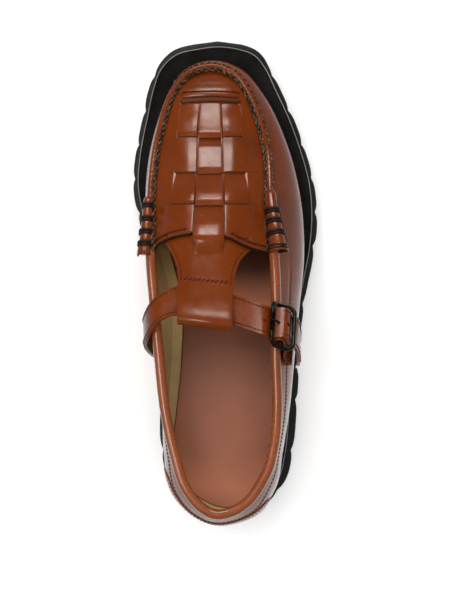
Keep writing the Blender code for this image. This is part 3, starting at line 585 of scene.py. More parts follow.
def frames(points, up=UP, closed=False):
    """Tangent, side and normal at each point of a path."""
    out = []
    count = len(points)
    for i, point in enumerate(points):
        before = points[i - 1] if i or closed else point
        after = points[(i + 1) % count] if i < count - 1 or closed else point
        tangent = (after - before).normalized()
        side = tangent.cross(up).normalized()
        out.append((tangent, side, side.cross(tangent).normalized()))
    return out


def round_point(middle, side, normal, size, angle):
    return middle + side * size * math.cos(angle) + normal * size * math.sin(angle)


def add_tube(work, points, radius, sides, closed=False, up=UP):
    """Adds a round bar along points in millimetres; its radius is one number, or one for each point."""
    radii = radius if isinstance(radius, list) else [radius] * len(points)
    rings = []
    for (_, side, normal), point, size in zip(frames(points, up, closed), points, radii):
        ring = [round_point(point, side, normal, size, 2 * math.pi * k / sides) for k in range(sides)]
        rings.append([work.verts.new(at(place)) for place in ring])
    for low, high in zip(rings, rings[1:] + rings[:1] if closed else rings[1:]):
        for k in range(sides):
            m = (k + 1) % sides
            work.faces.new((low[k], low[m], high[m], high[k]))
    if not closed:
        work.faces.new(rings[0])
        work.faces.new(rings[-1])


def bar(name, points, radius, material, sides=16, closed=False, replaces=()):
    """One tube as a piece."""
    work = bmesh.new()
    add_tube(work, points, radius, sides, closed)
    return closed_piece(name, work, material, replaces)


def carve(made, work):
    """Cuts a bmesh of closed shapes out of a piece, whose other modifiers are applied with it."""
    bmesh.ops.recalc_face_normals(work, faces=work.faces)
    cutter = add_object("cutter", work)
    boolean = made.modifiers.new("Cut", "BOOLEAN")
    boolean.operation = "DIFFERENCE"
    boolean.solver = "EXACT"
    boolean.object = cutter
    evaluated = made.evaluated_get(bpy.context.evaluated_depsgraph_get())
    data = bpy.data.meshes.new_from_object(evaluated)
    made.modifiers.clear()
    made.data = data
    bpy.data.objects.remove(cutter)


def resample(path, pitch):
    """(point, normal, tangent) at even steps of about that pitch along a path of (point, normal)."""
    along = [0.0]
    for (a, _), (b, _) in zip(path, path[1:]):
        along.append(along[-1] + (b - a).length)
    count = max(1, round(along[-1] / pitch))
    out = []
    k = 0
    for step in range(count + 1):
        goal = along[-1] * step / count
        while k < len(path) - 2 and along[k + 1] < goal:
            k += 1
        (a, na), (b, nb) = path[k], path[k + 1]
        part = (goal - along[k]) / max(along[k + 1] - along[k], 1e-9)
        out.append((a.lerp(b, part), na.lerp(nb, part).normalized(), (b - a).normalized()))
    return out


# A stitch comes up out of the leather, arches and goes back in: part of its length, height, size
STITCH_SHAPE = [(0.0, -0.9, 0.55), (0.14, 0.1, 0.85), (0.5, 0.55, 1.0), (0.86, 0.1, 0.85), (1.0, -0.9, 0.55)]


def stitches(name, path, material, pitch, length, radius, slant=0.0):
    """A row of running stitches along a path of (point, normal)."""
    work = bmesh.new()
    for point, normal, tangent in resample(path, pitch)[1:-1]:
        reach = tangent * (length / 2) + normal.cross(tangent).normalized() * (slant * length / 2)
        start, end = point - reach, point + reach
        points = [start.lerp(end, part) + normal * height * radius for part, height, _ in STITCH_SHAPE]
        add_tube(work, points, [radius * size for _, _, size in STITCH_SHAPE], 6, up=normal)
    return closed_piece(name, work, material)


def braid(name, path, material):
    """Thick sewing cord of two strands that turn round each other."""
    pitch, twist, strand_radius = 0.45, 8.4, 0.74
    places = resample(path, pitch)
    work = bmesh.new()
    for start in (0.0, math.pi):
        points = []
        for number, (point, normal, tangent) in enumerate(places):
            across = normal.cross(tangent).normalized()
            angle = start + 2 * math.pi * number * pitch / twist
            points.append(point + across * 0.825 * math.cos(angle) + normal * 0.528 * math.sin(angle))
        add_tube(work, points, strand_radius, 8, up=places[0][1])
    return closed_piece(name, work, material)


# ---- sole

EDGE = closed_curve([TOE_TIP, *[(lateral, y) for y, _, lateral in WELT], HEEL_TIP,
                     *[(medial, y) for y, medial, _ in reversed(WELT)]])
EDGE_HEEL = len(WELT) + 1


def lug(y, notches):
    """How far a lug stands out at y, level between the notches on either side of it."""
    for a, b in zip(notches, notches[1:]):
        if b <= y <= a:
            off_middle = abs(2 * (y - b) / (a - b) - 1)
            return profile(LUG_BULGE, y) * (1 - off_middle ** LUG_FLATNESS)
    return 0.0


def straight_cut(pairs, y):
    """Rung straight across the shoe at y."""
    ends = []
    for line in zip(*pairs):
        a, b = next((p, q) for p, q in zip(line, line[1:]) if q[1] <= y <= p[1])
        part = (y - a[1]) / (b[1] - a[1])
        ends.append((a[0] + (b[0] - a[0]) * part, y))
    return ends


def rungs(count, offset=0.0, notches=None, front=TOE_TIP[1], back=HEEL_TIP[1], flare=0.0):
    """Pairs of plan points, lateral and medial, from front to back along the midsole's edge, moved out."""
    moved, kept = [], []
    for ts in zip(stretch(EDGE, 0, EDGE_HEEL, count), stretch(EDGE, 2 * EDGE_HEEL, EDGE_HEEL, count)):
        pair = []
        for t in ts:
            x, y = EDGE(t)
            out = outward(EDGE, t)
            swell = offset + (lug(y, notches) if notches else 0) + flare * out.x
            pair.append((x + out.x * swell, y + out.y * swell))
        moved.append(pair)
        if all(back + 1.5 < EDGE(t)[1] < front - 1.5 for t in ts):
            kept.append(pair)
    first = straight_cut(moved, front) if front < TOE_TIP[1] else moved[0]
    last = straight_cut(moved, back) if back > HEEL_TIP[1] else moved[-1]
    return [first, *kept, last]


def block(name, levels, across, material, replaces):
    """Closed solid, from its lowest level to the highest: each is (plan rungs, height at y, lift)."""
    work = bmesh.new()
    edges = []
    for index, (pairs, height, lift) in enumerate(levels):
        lines = []
        for lateral, medial in pairs:
            places = [[a + (b - a) * k / across for a, b in zip(lateral, medial)] for k in range(across + 1)]
            lines.append([work.verts.new(at((x, y, height(y) + lift))) for x, y in places])
        if index in (0, len(levels) - 1):
            for row, following in zip(lines, lines[1:]):
                for corners in zip(row, row[1:], following[1:], following):
                    work.faces.new(corners)
        around = [row[0] for row in lines] + lines[-1][1:] + [row[-1] for row in reversed(lines[:-1])]
        edges.append(around + lines[0][-2::-1])
    for lower, upper in zip(edges, edges[1:]):
        for corners in zip(lower, lower[1:], upper[1:], upper):
            work.faces.new(corners)
    bmesh.ops.delete(work, geom=[v for v in work.verts if not v.link_faces], context="VERTS")
    bmesh.ops.remove_doubles(work, verts=work.verts, dist=0.00003)
    return closed_piece(name, work, material, replaces)


def sole_top(y):
    return profile(SOLE_TOP, y)


def sole_under(y):
    return sole_top(y) - MIDSOLE_THICK


def make_midsole():
    """Midsole with its rounded black rim, and a light grey bead on its edge that paints the edge's highlight.
    """
    rim = [(-0.8, sole_under, 0), (-0.2, sole_under, 0.4), (0, sole_under, 1.1), (0, sole_top, -1.5),
           (-0.12, sole_top, -0.8), (-0.45, sole_top, -0.3), (-1.0, sole_top, 0), (-1.35, sole_top, -0.22),
           (-1.7, sole_top, -0.3)]
    levels = [(rungs(150, offset), height, lift) for offset, height, lift in rim]
    block("midsole_rim", levels, 10, SOLE_BLACK, ["midsole"])
    path = []
    for t in stretch(EDGE, 0, 2 * EDGE_HEEL, 420)[:-1]:
        x, y = EDGE(t)
        path.append(Vector((x, y, sole_top(y) - 0.32)) - outward(EDGE, t) * 0.42)
    bar("welt_highlight_line", path, 0.24, EDGE_HIGHLIGHT_GREY, 6, closed=True)


def make_tread(name, notches, front, back, bottom, flare, node):
    """Lugged tread between two y values, with straight grooves across its level part."""
    def floor(y):
        return profile(bottom, y)

    shape = [(-1.2, floor, 0), (-0.35, floor, 0.35), (0, floor, 1.3), (0, sole_under, -GAP - 1.6),
             (-0.3, sole_under, -GAP - 0.5), (-1.0, sole_under, -GAP)]
    levels = [(rungs(240, SHELF + offset, notches, front, back, flare), height, lift)
              for offset, height, lift in shape]
    made = block(name, levels, 4, SOLE_GREY, [node])
    work = bmesh.new()
    for y in notches:
        if back + 6 < y < front - 6 and floor(y) < 3:
            cube = bmesh.ops.create_cube(work, size=1)["verts"]
            bmesh.ops.scale(work, vec=Vector((140, GROOVE_WIDTH, 2 * GROOVE_DEPTH)) * 0.001, verts=cube)
            bmesh.ops.translate(work, vec=at((0, y, floor(y))), verts=cube)
    carve(made, work)


# ---- upper

def seam_v(t):
    """The seam's height: level with the collar, lower round the heel."""
    return SEAM_V - 0.05 * smooth_step(22, 25.5, t) + 0.05 * smooth_step(26.5, 30, t)


def seam_dent(t, v):
    """How far the stitched seam below the collar draws the wall in."""
    behind = smooth_step(19.2, 19.8, t) * (1 - smooth_step(33.6, 34.1, t))
    return -0.35 * behind * math.exp(-((v - seam_v(t)) / 0.011) ** 2)


def make_upper():
    """Wall with its lining, the counter's overlay, and their stitches."""
    places = stretch(LAST, MEDIAL_THROAT, MEDIAL_THROAT + COUNT, 300)[:-1]
    wall = [[wall_point(t, k / 60, seam_dent(t, k / 60)) for t in places] for k in range(61)]
    grid("vamp_and_quarters", wall, [BROWN, LINING], WALL, facing="out", ring=True, edge=0,
         replaces=["upper"])

    places = stretch(LAST, *COUNTER, 110)
    to_end = [min(number, 110 - number) / 110 for number in range(111)]
    highs = [COUNTER_HIGH * (1 - math.exp(-side * COUNTER_FALL)) + COUNTER_END_HIGH for side in to_end]
    overlay = [[wall_point(t, high * k / 30, COUNTER_PROUD) for t, high in zip(places, highs)]
               for k in range(31)]
    grid("heel_counter", overlay, [COUNTER_BROWN], 0.8, 0.2, "out")
    path = [(point, wall_normal(t, 0.5)) for t, point in zip(places, overlay[28])]
    stitches("counter_stitches", path[3:-3], *UPPER_STITCH)

    path = []
    for t in stretch(LAST, MEDIAL_THROAT + 0.5, COUNT + LATERAL_THROAT - 0.35, 260):
        v = seam_v(t) - 0.03
        path.append((wall_point(t, v, 0.05), wall_normal(t, v)))
    stitches("collar_stitches", path, *UPPER_STITCH)


def seat(t, radius, lean, gap):
    """Middle of a roll that rests on the top of the wall, leaning outwards."""
    return wall_point(t, 1) + (UP + outward(LAST, t) * lean).normalized() * (radius + gap)


def ridge_point(t):
    return seat(t, SEAM_RADIUS, RIDGE_LEAN, RIDGE_GAP)


def make_collar():
    """Padded roll round the top line."""
    path = [seat(t, ROLL_RADIUS, 0, GAP) - outward(LAST, t) * (WALL / 2)
            for t in stretch(LAST, MEDIAL_THROAT - 0.1, COUNT + LATERAL_THROAT + 0.12, 260)]
    return bar("collar_piping", path, ROLL_RADIUS, ROLL_BROWN, 24, replaces=["collar_roll"])


def make_ridge():
    """Raised seam round the apron, the braid on its inner side and the stitches on its outer side."""
    places = stretch(LAST, BEEFROLLS[0][2] - 0.05, BEEFROLLS[1][2] + 0.1, 170)
    radii = [SEAM_RADIUS * (1.1 + 0.06 * math.sin(number * 2.4)) for number in range(len(places))]
    bar("apron_ridge", [ridge_point(t) for t in places], radii, BROWN, replaces=["apron_seam"])

    inner, outer = [], []
    for t in stretch(LAST, LATERAL_THROAT + 0.05, MEDIAL_THROAT - 0.05, 260):
        out = outward(LAST, t)
        lateral = smooth_step(LATERAL_THROAT + 1.4, LATERAL_THROAT, t)
        medial = smooth_step(MEDIAL_THROAT - 1.7, MEDIAL_THROAT, t)
        point = ridge_point(t) - out * (1.75 + 3.4 * lateral + 1.6 * medial)
        inner.append((point + UP * (0.75 + 1.6 * lateral + 2.4 * medial), (UP - out * 0.25).normalized()))
    for t in stretch(LAST, BEEFROLLS[0][2] + 0.02, TOE + 1.9, 200):
        out = outward(LAST, t)
        outer.append((ridge_point(t) + out * 1.55 + UP * 0.62, (out * 0.8 + UP * 0.6).normalized()))
    braid("apron_braid", inner, THREAD_DARK)
    stitches("apron_outer_stitches", outer, *APRON_STITCH)


def make_beefroll(name, start, end, wide, narrow, lean, wraps):
    """Roll at an end of the ridge, pinched by double wraps of thread, with a flap over its thick end."""
    def place_on_wall(part, size):
        return seat(start + (end - start) * part, size, lean, 3 * GAP)

    steps = 72
    path, radii = [], []
    for k in range(steps + 1):
        part = k / steps
        size = wide + (narrow - wide) * part
        pinch = sum(math.exp(-((part - place) / 0.035) ** 2) for place in wraps)
        rounding = math.sqrt(max(0.02, 1 - max(0.0, (part - 0.93) / 0.07) ** 2))
        path.append(place_on_wall(part, size))
        radii.append(size * (1 - 0.07 * pinch) * (0.55 + 0.45 * rounding))
    bar(name + "_roll", path, radii, BROWN, 28, replaces=[name])

    work = bmesh.new()
    lines = frames(path)
    for place in wraps:
        middle = round(place * steps)
        tangent, side, normal = lines[middle]
        for strand in (-0.8, 0.75):
            loop = []
            for k in range(40):
                angle = 2 * math.pi * k / 40
                point = path[middle] + tangent * (strand + 0.12 * math.sin(3 * angle + strand))
                loop.append(round_point(point, side, normal, radii[middle] + 0.35, angle))
            add_tube(work, loop, 0.85, 8, closed=True, up=tangent)
    closed_piece(name + "_wraps", work, THREAD_AND_SHADE_BLACK)

    cuff = []
    for k in range(9):
        part = -0.045 + 0.135 * k / 8
        size = wide + 0.55 - 4 * max(0.0, part)
        _, side, normal = lines[max(0, round(part * steps))]
        middle = place_on_wall(part, wide)
        angles = [math.radians(-25 + 230 * j / 30) for j in range(31)]
        cuff.append([round_point(middle, side, normal, size, angle) for angle in angles])
    grid(name + "_flap", cuff, [BROWN, EDGE_AND_SHADE_BROWN], 1.0, 0.3)
    # On the lateral roll, black lines along both its sides paint the shade in the gaps beside it.
    if name == "beefroll_lateral":
        for place, toward in (("inner", -1), ("outer", 1)):
            seam = [path[k] + lines[k][1] * toward * (radii[k] + 0.1) for k in range(2, 62)]
            bar(f"{name}_{place}_seam", seam, 0.5, THREAD_AND_SHADE_BLACK, 8)


# ---- woven apron

def weave_dip(x, y):
    """The apron rises to the band in front of the weave and lies lower under the woven strips."""
    ahead = max(0.0, y - 107.0)
    rise = 0.8 * smooth_step(107.5, 102.8, y) * smooth_step(94.5, 97.0, y)
    rise -= 0.12 * ahead * smooth_step(0.0, 1.5, ahead) + 0.13 * min(6.0, ahead)
    ends = smooth_step(WEAVE_ROWS[-1] - 3, WEAVE_ROWS[-1] + 1, y) * (1 - smooth_step(95.2, 96.8, y))
    left = smooth_step(-0.2, 1.2, x - profile(LEFT_EDGE, y))
    right = smooth_step(-0.2, 1.2, profile(RIGHT_EDGE, y) - x)
    return rise - 1.1 * ends * left * right


def make_apron():
    """Plain leather of the apron, with its lining, lowered under the weave."""
    plain = [[apron_point(i / 110, j / 80) for j in range(81)] for i in range(111)]
    rows = [[point + UP * weave_dip(point.x, point.y) for point in row] for row in plain]
    grid("apron", rows, [BROWN, LINING], WALL - 0.6, edge=0)
    return Ground(plain)


def strip_lift(s, height, full=0.72, level=0.0):
    """A strip comes up from under the row in front, is at its height at full, and rolls over at its end."""
    rise = (1 - level) * smooth_step(0.0, full, s) + level * min(1.0, s / full)
    sink = 0.8 * smooth_step(full, 1.05, s) if full < 0.5 else 0.0
    return -0.9 + (height + 0.9) * rise - sink - 0.75 * smooth_step(0.82, 1.0, s) ** 1.5


def laid_row(ground, x0, x1, y, cells, lift):
    """Row of points over the ground at y between two x: lift(u) above it, with u from 0 to 1."""
    return [ground.over(x0 + (x1 - x0) * j / cells, y, lift(j / cells))[0] for j in range(cells + 1)]


def edge_x(edge, y):
    """x at y of an edge, which is a table and a shift."""
    return profile(edge[0], y) + edge[1]


def make_strip(name, ground, front, rear, left, right, rise, rounding, square=None):
    """One woven strip between two y values and two edges; its sides are rounded, but for the square one."""
    def drop(u):
        return 0 if square is not None and (u > 0.5) == square else rounding * abs(2 * u - 1) ** 4

    front, rear = front + 1.2, rear - 0.7
    rows = []
    for i in range(31):
        y = front - (front - rear) * i / 30
        height = strip_lift(i / 30, *rise)
        rows.append(laid_row(ground, edge_x(left, y), edge_x(right, y), y, 22, lambda u: height - drop(u)))
    grid(name, rows, [BROWN], 1.1, 0.3)


def make_band(name, ground, front, rear, inner, outer, toward, dip, fall):
    """A band of the apron between two slits, which runs out into the plain leather beside the weave."""
    rows = []
    for i in range(27):
        s = i / 26
        y = front - 0.25 - (front - rear - 0.5) * s
        x0, x1 = edge_x(inner, y), edge_x(outer, y) - toward * RUN_OUT
        row = []
        for j in range(35):
            x = x0 + (x1 - x0) * j / 34
            beyond = max(0.0, (edge_x(outer, y) - x) * toward) / RUN_OUT
            height = 1.25 * (1 - fall * s) * (1 - smooth_step(0.0, 0.85, beyond))
            height -= 0.45 * smooth_step(0.75, 1.0, beyond) + dip * max(0.0, 1 - abs(x - x0) / 7.0) ** 2
            row.append(ground.over(x, y, height)[0])
        rows.append(row)
    grid(name, rows, [BROWN], 1.0, 0.25)


def painted_shade_line(name, ground, left, right, y, inset, lift):
    """Dark bar across the weave at y, along the edge between two rows, which paints the shade that falls
    there.
    """
    x0, x1 = profile(left, y) + inset, profile(right, y) - inset
    path = laid_row(ground, x0, x1, y, 16, lambda u: lift)
    fullness = [min(1.0, 0.08 + k / 4, 0.08 + (16 - k) / 4) for k in range(17)]
    radii = [0.34 * (0.35 + 0.65 * math.sin(math.pi * full / 2)) for full in fullness]
    bar(name, path, radii, EDGE_AND_SHADE_BROWN, 8)


def make_weave(ground):
    """Woven strips and bands beside the centre strips, with dark bars that paint the shade between them."""
    for number, (front, rear) in enumerate(zip(WEAVE_ROWS, WEAVE_ROWS[1:]), 1):
        odd = number % 2
        if number < 4:
            make_strip(f"weave_centre_{number}", ground, front, rear, (LEFT_MIDDLE, SLIT),
                       (RIGHT_MIDDLE, -SLIT), (1.7, *CENTRE_RISE[number - 1]), 0.1225)
            painted_shade_line(f"shade_line_centre_{number}", ground, LEFT_MIDDLE, RIGHT_MIDDLE, rear - 0.85, 0.2, -0.25)
        for which, inner, outer, toward in (("medial", LEFT_MIDDLE, LEFT_EDGE, 1),
                                            ("lateral", RIGHT_MIDDLE, RIGHT_EDGE, -1)):
            slit, side = (inner, -SLIT * toward), (outer, 0)
            if odd:
                left, right = (side, slit) if which == "medial" else (slit, side)
                make_strip(f"weave_{which}_{number}", ground, front, rear, left, right, (1.15,), 0.35,
                           which == "lateral")
            else:
                dip, fall = (0.9, 0.7) if number == 2 else (0.3, 1.1)
                make_band(f"weave_{which}_{number}", ground, front, rear, slit, side, toward, dip, fall)
            # Dark bars along the edges between rows paint the shade that falls there.
            if number < 4:
                left, right = (outer, inner) if which == "medial" else (inner, outer)
                place, lift = (rear + 0.35, 0.75) if odd else (rear + 0.05, -0.35)
                painted_shade_line(f"cut_{which}_{number}", ground, left, right, place, 0.6 * odd - 0.6, lift)


def make_front_band(ground):
    """Folded strap stitched down across the front end of the weave, and a dark bar in the slot behind it that
    paints the slot's shadow.
    """
    left, right = -24.6, 8.0
    rows = []
    for j in range(13):
        part = j / 12
        fold = 0.35 + 1.25 * math.sin(math.pi * min(1.0, 0.12 + part * 0.86))
        row = []
        for i in range(61):
            u = i / 60
            lift = fold * (1 - 0.6 * abs(2 * u - 1) ** 16)
            y = 101.7 + 2.4 * u * (1 - u) - 4.5 * part
            row.append(ground.over(left + (right - left) * u, y, lift)[0])
        rows.append(row)
    grid("front_band", rows, [BROWN], 1.0, 0.25)
    for name, index in (("front_band_stitches_1", 2), ("front_band_stitches_2", 10)):
        path = [(point + UP * 0.2, Vector((0, 0.25, 0.97))) for point in rows[index]]
        stitches(name, path[1:-1], *BAND_STITCH)
    # A dark bar in the slot behind the band paints its shadow.
    slot = [ground.over(left + (right - left) * k / 24, 96.2 + 2.4 * k * (24 - k) / 576, -0.1)[0]
            for k in range(25)]
    bar("front_band_slot_shadow", slot, 1.0, EDGE_AND_SHADE_BROWN, 10)


def make_throat(ground):
    """Turned edge along the apron's rear end, on both sides of the stem, with its stitches and a black bar
    under it that paints its shadow.
    """
    for name, start, end in (("medial", 0.015, 0.335), ("lateral", 0.6, 0.985)):
        edge = [apron_point(1.0, start + (end - start) * k / 32) + Vector((0, 0.5, 0)) for k in range(33)]
        bar(f"throat_edge_{name}", edge, 0.6, BROWN, 12)
        # A black bar below and behind the edge paints the shadow under it.
        below = [point + Vector((0, -0.8, -0.5)) for point in edge]
        bar(f"throat_shadow_{name}", below, 0.95, THREAD_AND_SHADE_BLACK, 12)
        path = [ground.over(point.x, point.y + 1.9, 0.4) for point in edge]
        stitches(f"throat_stitches_{name}", path[2:-2], *THROAT_STITCH)


# ---- T-bar, strap, tab and buckle

def surface_path(rows, column, lift, start, end):
    """(point, normal) along a column of a grid of points, lifted off the side away from the shoe."""
    path = []
    for i in range(start, end + 1):
        place = rows[i][column]
        along = rows[min(i + 1, len(rows) - 1)][column] - rows[max(i - 1, 0)][column]
        across = rows[i][min(column + 1, len(rows[0]) - 1)] - rows[i][max(column - 1, 0)]
        normal = along.cross(across).normalized()
        if normal.dot(Vector((place.x * 0.6, 0, 1 if place.z > 70 else 0.2))) < 0:
            normal = -normal
        path.append((place + normal * lift, normal))
    return path


def stem_sag(y):
    """How far the stem's leather lies under its smooth line over the strap, and over it at the fold."""
    return 0.8 * smooth_step(-3.0, -13.5, y) - 1.5 * smooth_step(-12.5, -28.0, y)


def make_t_bar():
    """Stem with its wings and its loop, and the stitches along its edges."""
    rows = []
    for left_x, left_y, right_x, right_y, below in T_BAR:
        rows.append([stem_point(left_x + (right_x - left_x) * k / 30, left_y + (right_y - left_y) * k / 30,
                                below * LOOP_ROOM) for k in range(31)])
    depths = [row[0].x for row in smooth_rows([[Vector((section[-1], 0, 0))] for section in T_BAR], 8)]
    rows = smooth_rows(rows, 8)
    for row, depth in zip(rows, depths):
        middle = (row[0].x + row[-1].x) / 2
        for place in row:
            flat = 0.006 * (place.x - middle) ** 2 * smooth_step(-4.0, -14.0, place.y)
            place.z += (flat - stem_sag(place.y)) * max(0.0, 1 - depth * 2)
    front, rear = rows[0][15].copy(), rows[40][15].copy()
    for row in rows[:40]:
        part = (row[15].y - rear.y) / (front.y - rear.y)
        shift = rear.z + (front.z + STEM_RAISED - rear.z) * part - row[15].z
        for place in row:
            place.z += shift
    grid("t_bar_leather", rows, [BROWN, STRAP_EDGE], STRAP_THICK, 0.35, offset=0, replaces=["t_bar"])
    lift = STRAP_THICK / 2 + 0.1
    for name, column in (("t_bar_stitches_medial", 2), ("t_bar_stitches_lateral", 28)):
        stitches(name, surface_path(rows, column, lift, 10, 42), *STEM_STITCH)
    cross = [(place + UP * lift, Vector((0, 0.2, 0.98))) for place in rows[39][2:-2]]
    stitches("t_bar_cross_stitches", cross, *CROSS_STITCH)
    return rows


def make_stem_strip(apron, stem):
    """Last centre strip of the weave, which runs over the throat edge and then on, blending into the stem."""
    front, steps, run_on = 40.0, 50, 22
    rows = []
    for i in range(steps + run_on + 1):
        y = front - (front - STRIP_END) * min(i, steps) / steps
        on = max(0, i - steps) / run_on
        left, right = profile(LEFT_MIDDLE, y) + SLIT, profile(RIGHT_MIDDLE, y) - SLIT
        drop = 0.5 * max(0.0, 25.0 - y) - 0.06 * max(0.0, 22.5 - y) ** 2
        row = []
        for j in range(41):
            x = left + (right - left) * j / 40
            aside = abs(2 * j / 40 - 1)
            rise = -0.85 + 2.9 * smooth_step(front, 27.0, y) - 0.35 * aside ** 4
            height = apron.over(x, max(y, 25.0))[0].z + drop + rise
            if on:
                above = height - stem.over(x, y)[0].z - STRAP_THICK / 2
                above *= (1 - smooth_step(0, 1, on)) * (1 - smooth_step(0, 0.4, on) * aside ** 8)
                height = stem.over(x, y - STRIP_RUN_ON * on)[0].z + STRAP_THICK / 2 + above - 0.7 * on ** 3
            row.append(Vector((x, y - STRIP_RUN_ON * on, height)))
        rows.append(row)
    grid("weave_centre_4", rows, [BROWN], 1.1, 0.3)


def pair_of_points(row):
    return [Vector(row[:3]), Vector(row[3:])]


def strap_rows():
    """Front and rear edge of the strap from its anchor to its free end."""
    rows = [pair_of_points(row) for row in STRAP_MEDIAL]
    for x, *edges in STRAP_IN_LOOP:
        rows.append([stem_point(x, y, LOOP_ROOM / 2) for y in edges])
    dip = BUCKLE_LIFT - BAR_RADIUS - 2 * GAP - STRAP_THICK / 2
    crest = MIDDLE_BAR_RADIUS + 2 * GAP + 2 * PRONG_RADIUS + STRAP_THICK / 2
    for across, out in ((-12, dip + 0.3), (-BUCKLE_HALF_WIDTH - 1, dip - 0.2), (-BUCKLE_HALF_WIDTH + 1, dip),
                        (-PRONG_HOLE, crest - 0.1), (PRONG_HOLE, crest - 0.1), (BUCKLE_HALF_WIDTH - 1, dip),
                        (BUCKLE_HALF_WIDTH + 1.2, dip - 1)):
        rows.append([on_buckle(across, along, out) for along in STRAP_ON_BUCKLE])
    return rows + [pair_of_points(row) for row in STRAP_TAIL]


def make_strap():
    """Strap with its stitched edges and punched holes."""
    cells = 20
    rows = [[front.lerp(rear, k / cells) for k in range(cells + 1)] for front, rear in strap_rows()]
    rows = smooth_rows(rows, 8)
    made = grid("strap_leather", rows, [STRAP_BROWN, STRAP_BACK], STRAP_THICK, 0.35, offset=0, edge=0,
                replaces=["strap"])
    work = bmesh.new()
    for across, foot, head in ((PRONG_HOLE, -7, 6), (PUNCHED_HOLE, -5, 5)):
        add_tube(work, [on_buckle(across, 0, foot), on_buckle(across, 0, head)], HOLE_RADIUS, 20, up=AXES[1])
    carve(made, work)
    lift, last = STRAP_THICK / 2 + 0.05, len(rows) - 14
    for name, column in (("strap_stitches_front", 2), ("strap_stitches_rear", cells - 2)):
        stitches(name, surface_path(rows, column, lift, 4, last), *STRAP_STITCH)
    end = surface_path(list(zip(*rows)), last, lift, 3, cells - 3)
    stitches("strap_stitches_end", end, *END_STITCH)


def refine(row, steps):
    """A row of points with steps - 1 put in between each two, in straight lines."""
    return row[:1] + [a.lerp(b, (k + 1) / steps) for a, b in zip(row, row[1:]) for k in range(steps)]


def make_tab():
    """Leather tab folded round the middle bar, sewn down on the lateral quarter."""
    front, rear = TAB_PLACES[0], TAB_PLACES[-1]
    rows = [[on_buckle(across, along, out) for along in TAB_PLACES] for across, out in TAB_FOLD]
    for first, last in map(pair_of_points, TAB_DOWN):
        rows.append([first.lerp(last, (along - front) / (rear - front)) for along in TAB_PLACES])
    steps, cells = 6, 4
    rows = [refine(row, cells) for row in smooth_rows(rows, steps)]
    low, high = TAB_SLOT[0] * steps, TAB_SLOT[1] * steps
    middle = (len(TAB_PLACES) // 2 - 1) * cells

    def in_slot(i, j):
        return low <= i < high and middle <= j < middle + cells

    grid("buckle_tab_leather", rows, [STRAP_BROWN], TAB_THICK, 0.3, offset=0, replaces=["buckle_tab"],
         skip=in_slot)
    for name, column in (("tab_stitches_front", 2), ("tab_stitches_rear", len(rows[0]) - 3)):
        path = surface_path(rows, column, TAB_THICK / 2 + 0.05, 9 * steps, len(rows) - 1)
        stitches(name, path, *END_STITCH)


def buckle_outline():
    """Points round the frame: each corner, and four points on the straight to the next."""
    half_width, half_length = BUCKLE_HALF_WIDTH - BUCKLE_CORNER, BUCKLE_HALF_LENGTH - BUCKLE_CORNER
    corners = []
    for turn, (side, end) in enumerate(((1, 1), (-1, 1), (-1, -1), (1, -1))):
        angles = [math.pi / 2 * (turn + k / 12) for k in range(13)]
        corners.append([Vector((side * half_width + BUCKLE_CORNER * math.cos(angle),
                                end * half_length + BUCKLE_CORNER * math.sin(angle))) for angle in angles])
    plan = []
    for turn, corner in enumerate(corners):
        straight = [corner[-1].lerp(corners[(turn + 1) % 4][0], part / 5) for part in range(1, 5)]
        # On the prong side these four run backwards, so that the tube doubles back inside itself there
        plan += corner + (straight[::-1] if turn == 1 else straight)
    return [on_buckle(across, along, BUCKLE_LIFT * (across / BUCKLE_HALF_WIDTH) ** 2)
            for across, along in plan]


def make_buckle():
    """Frame with its middle bar, and the prong curled round the bar."""
    work = bmesh.new()
    add_tube(work, buckle_outline(), BAR_RADIUS, 20, closed=True, up=AXES[2])
    reach = BUCKLE_HALF_LENGTH + 0.2
    add_tube(work, [on_buckle(0, reach * k / 6, 0) for k in range(-6, 7)], MIDDLE_BAR_RADIUS, 20, up=AXES[2])
    closed_piece("buckle_frame_metal", work, GUNMETAL, ["buckle_frame"])

    ring = MIDDLE_BAR_RADIUS + GAP + PRONG_RADIUS
    tip = BUCKLE_LIFT + BAR_RADIUS + GAP + PRONG_RADIUS
    plan = [(ring * math.cos(math.radians(a)), ring * math.sin(math.radians(a))) for a in range(175, 451, 11)]
    plan += [(-BUCKLE_HALF_WIDTH * 0.5, (ring + tip) / 2 + 0.3), (-BUCKLE_HALF_WIDTH, tip),
             (-BUCKLE_HALF_WIDTH - 1.6, tip - 0.4)]
    path = [row[0] for row in smooth_rows([[on_buckle(across, 0, out)] for across, out in plan], 3)]
    radii = [PRONG_RADIUS * (1 - 0.35 * max(0.0, k - len(path) + 8) / 8) for k in range(len(path))]
    work = bmesh.new()
    add_tube(work, path, radii, 14, up=AXES[1])
    closed_piece("buckle_prong_metal", work, GUNMETAL, ["buckle_prong"])


# ---- inside

def heel_cup(y):
    """How far the sock rises towards the back of the heel."""
    return 4.0 * smooth_step(-96.0, -132.0, y)


def lining_place(t, rise, inset):
    """Plan point on the lining, or that far inside it, at a height above the midsole."""
    height = LAST(t)[4] - profile(SOLE_TOP, LAST(t)[1])
    return wall_point(t, rise / height, -(WALL + 0.12 + inset))[:2]


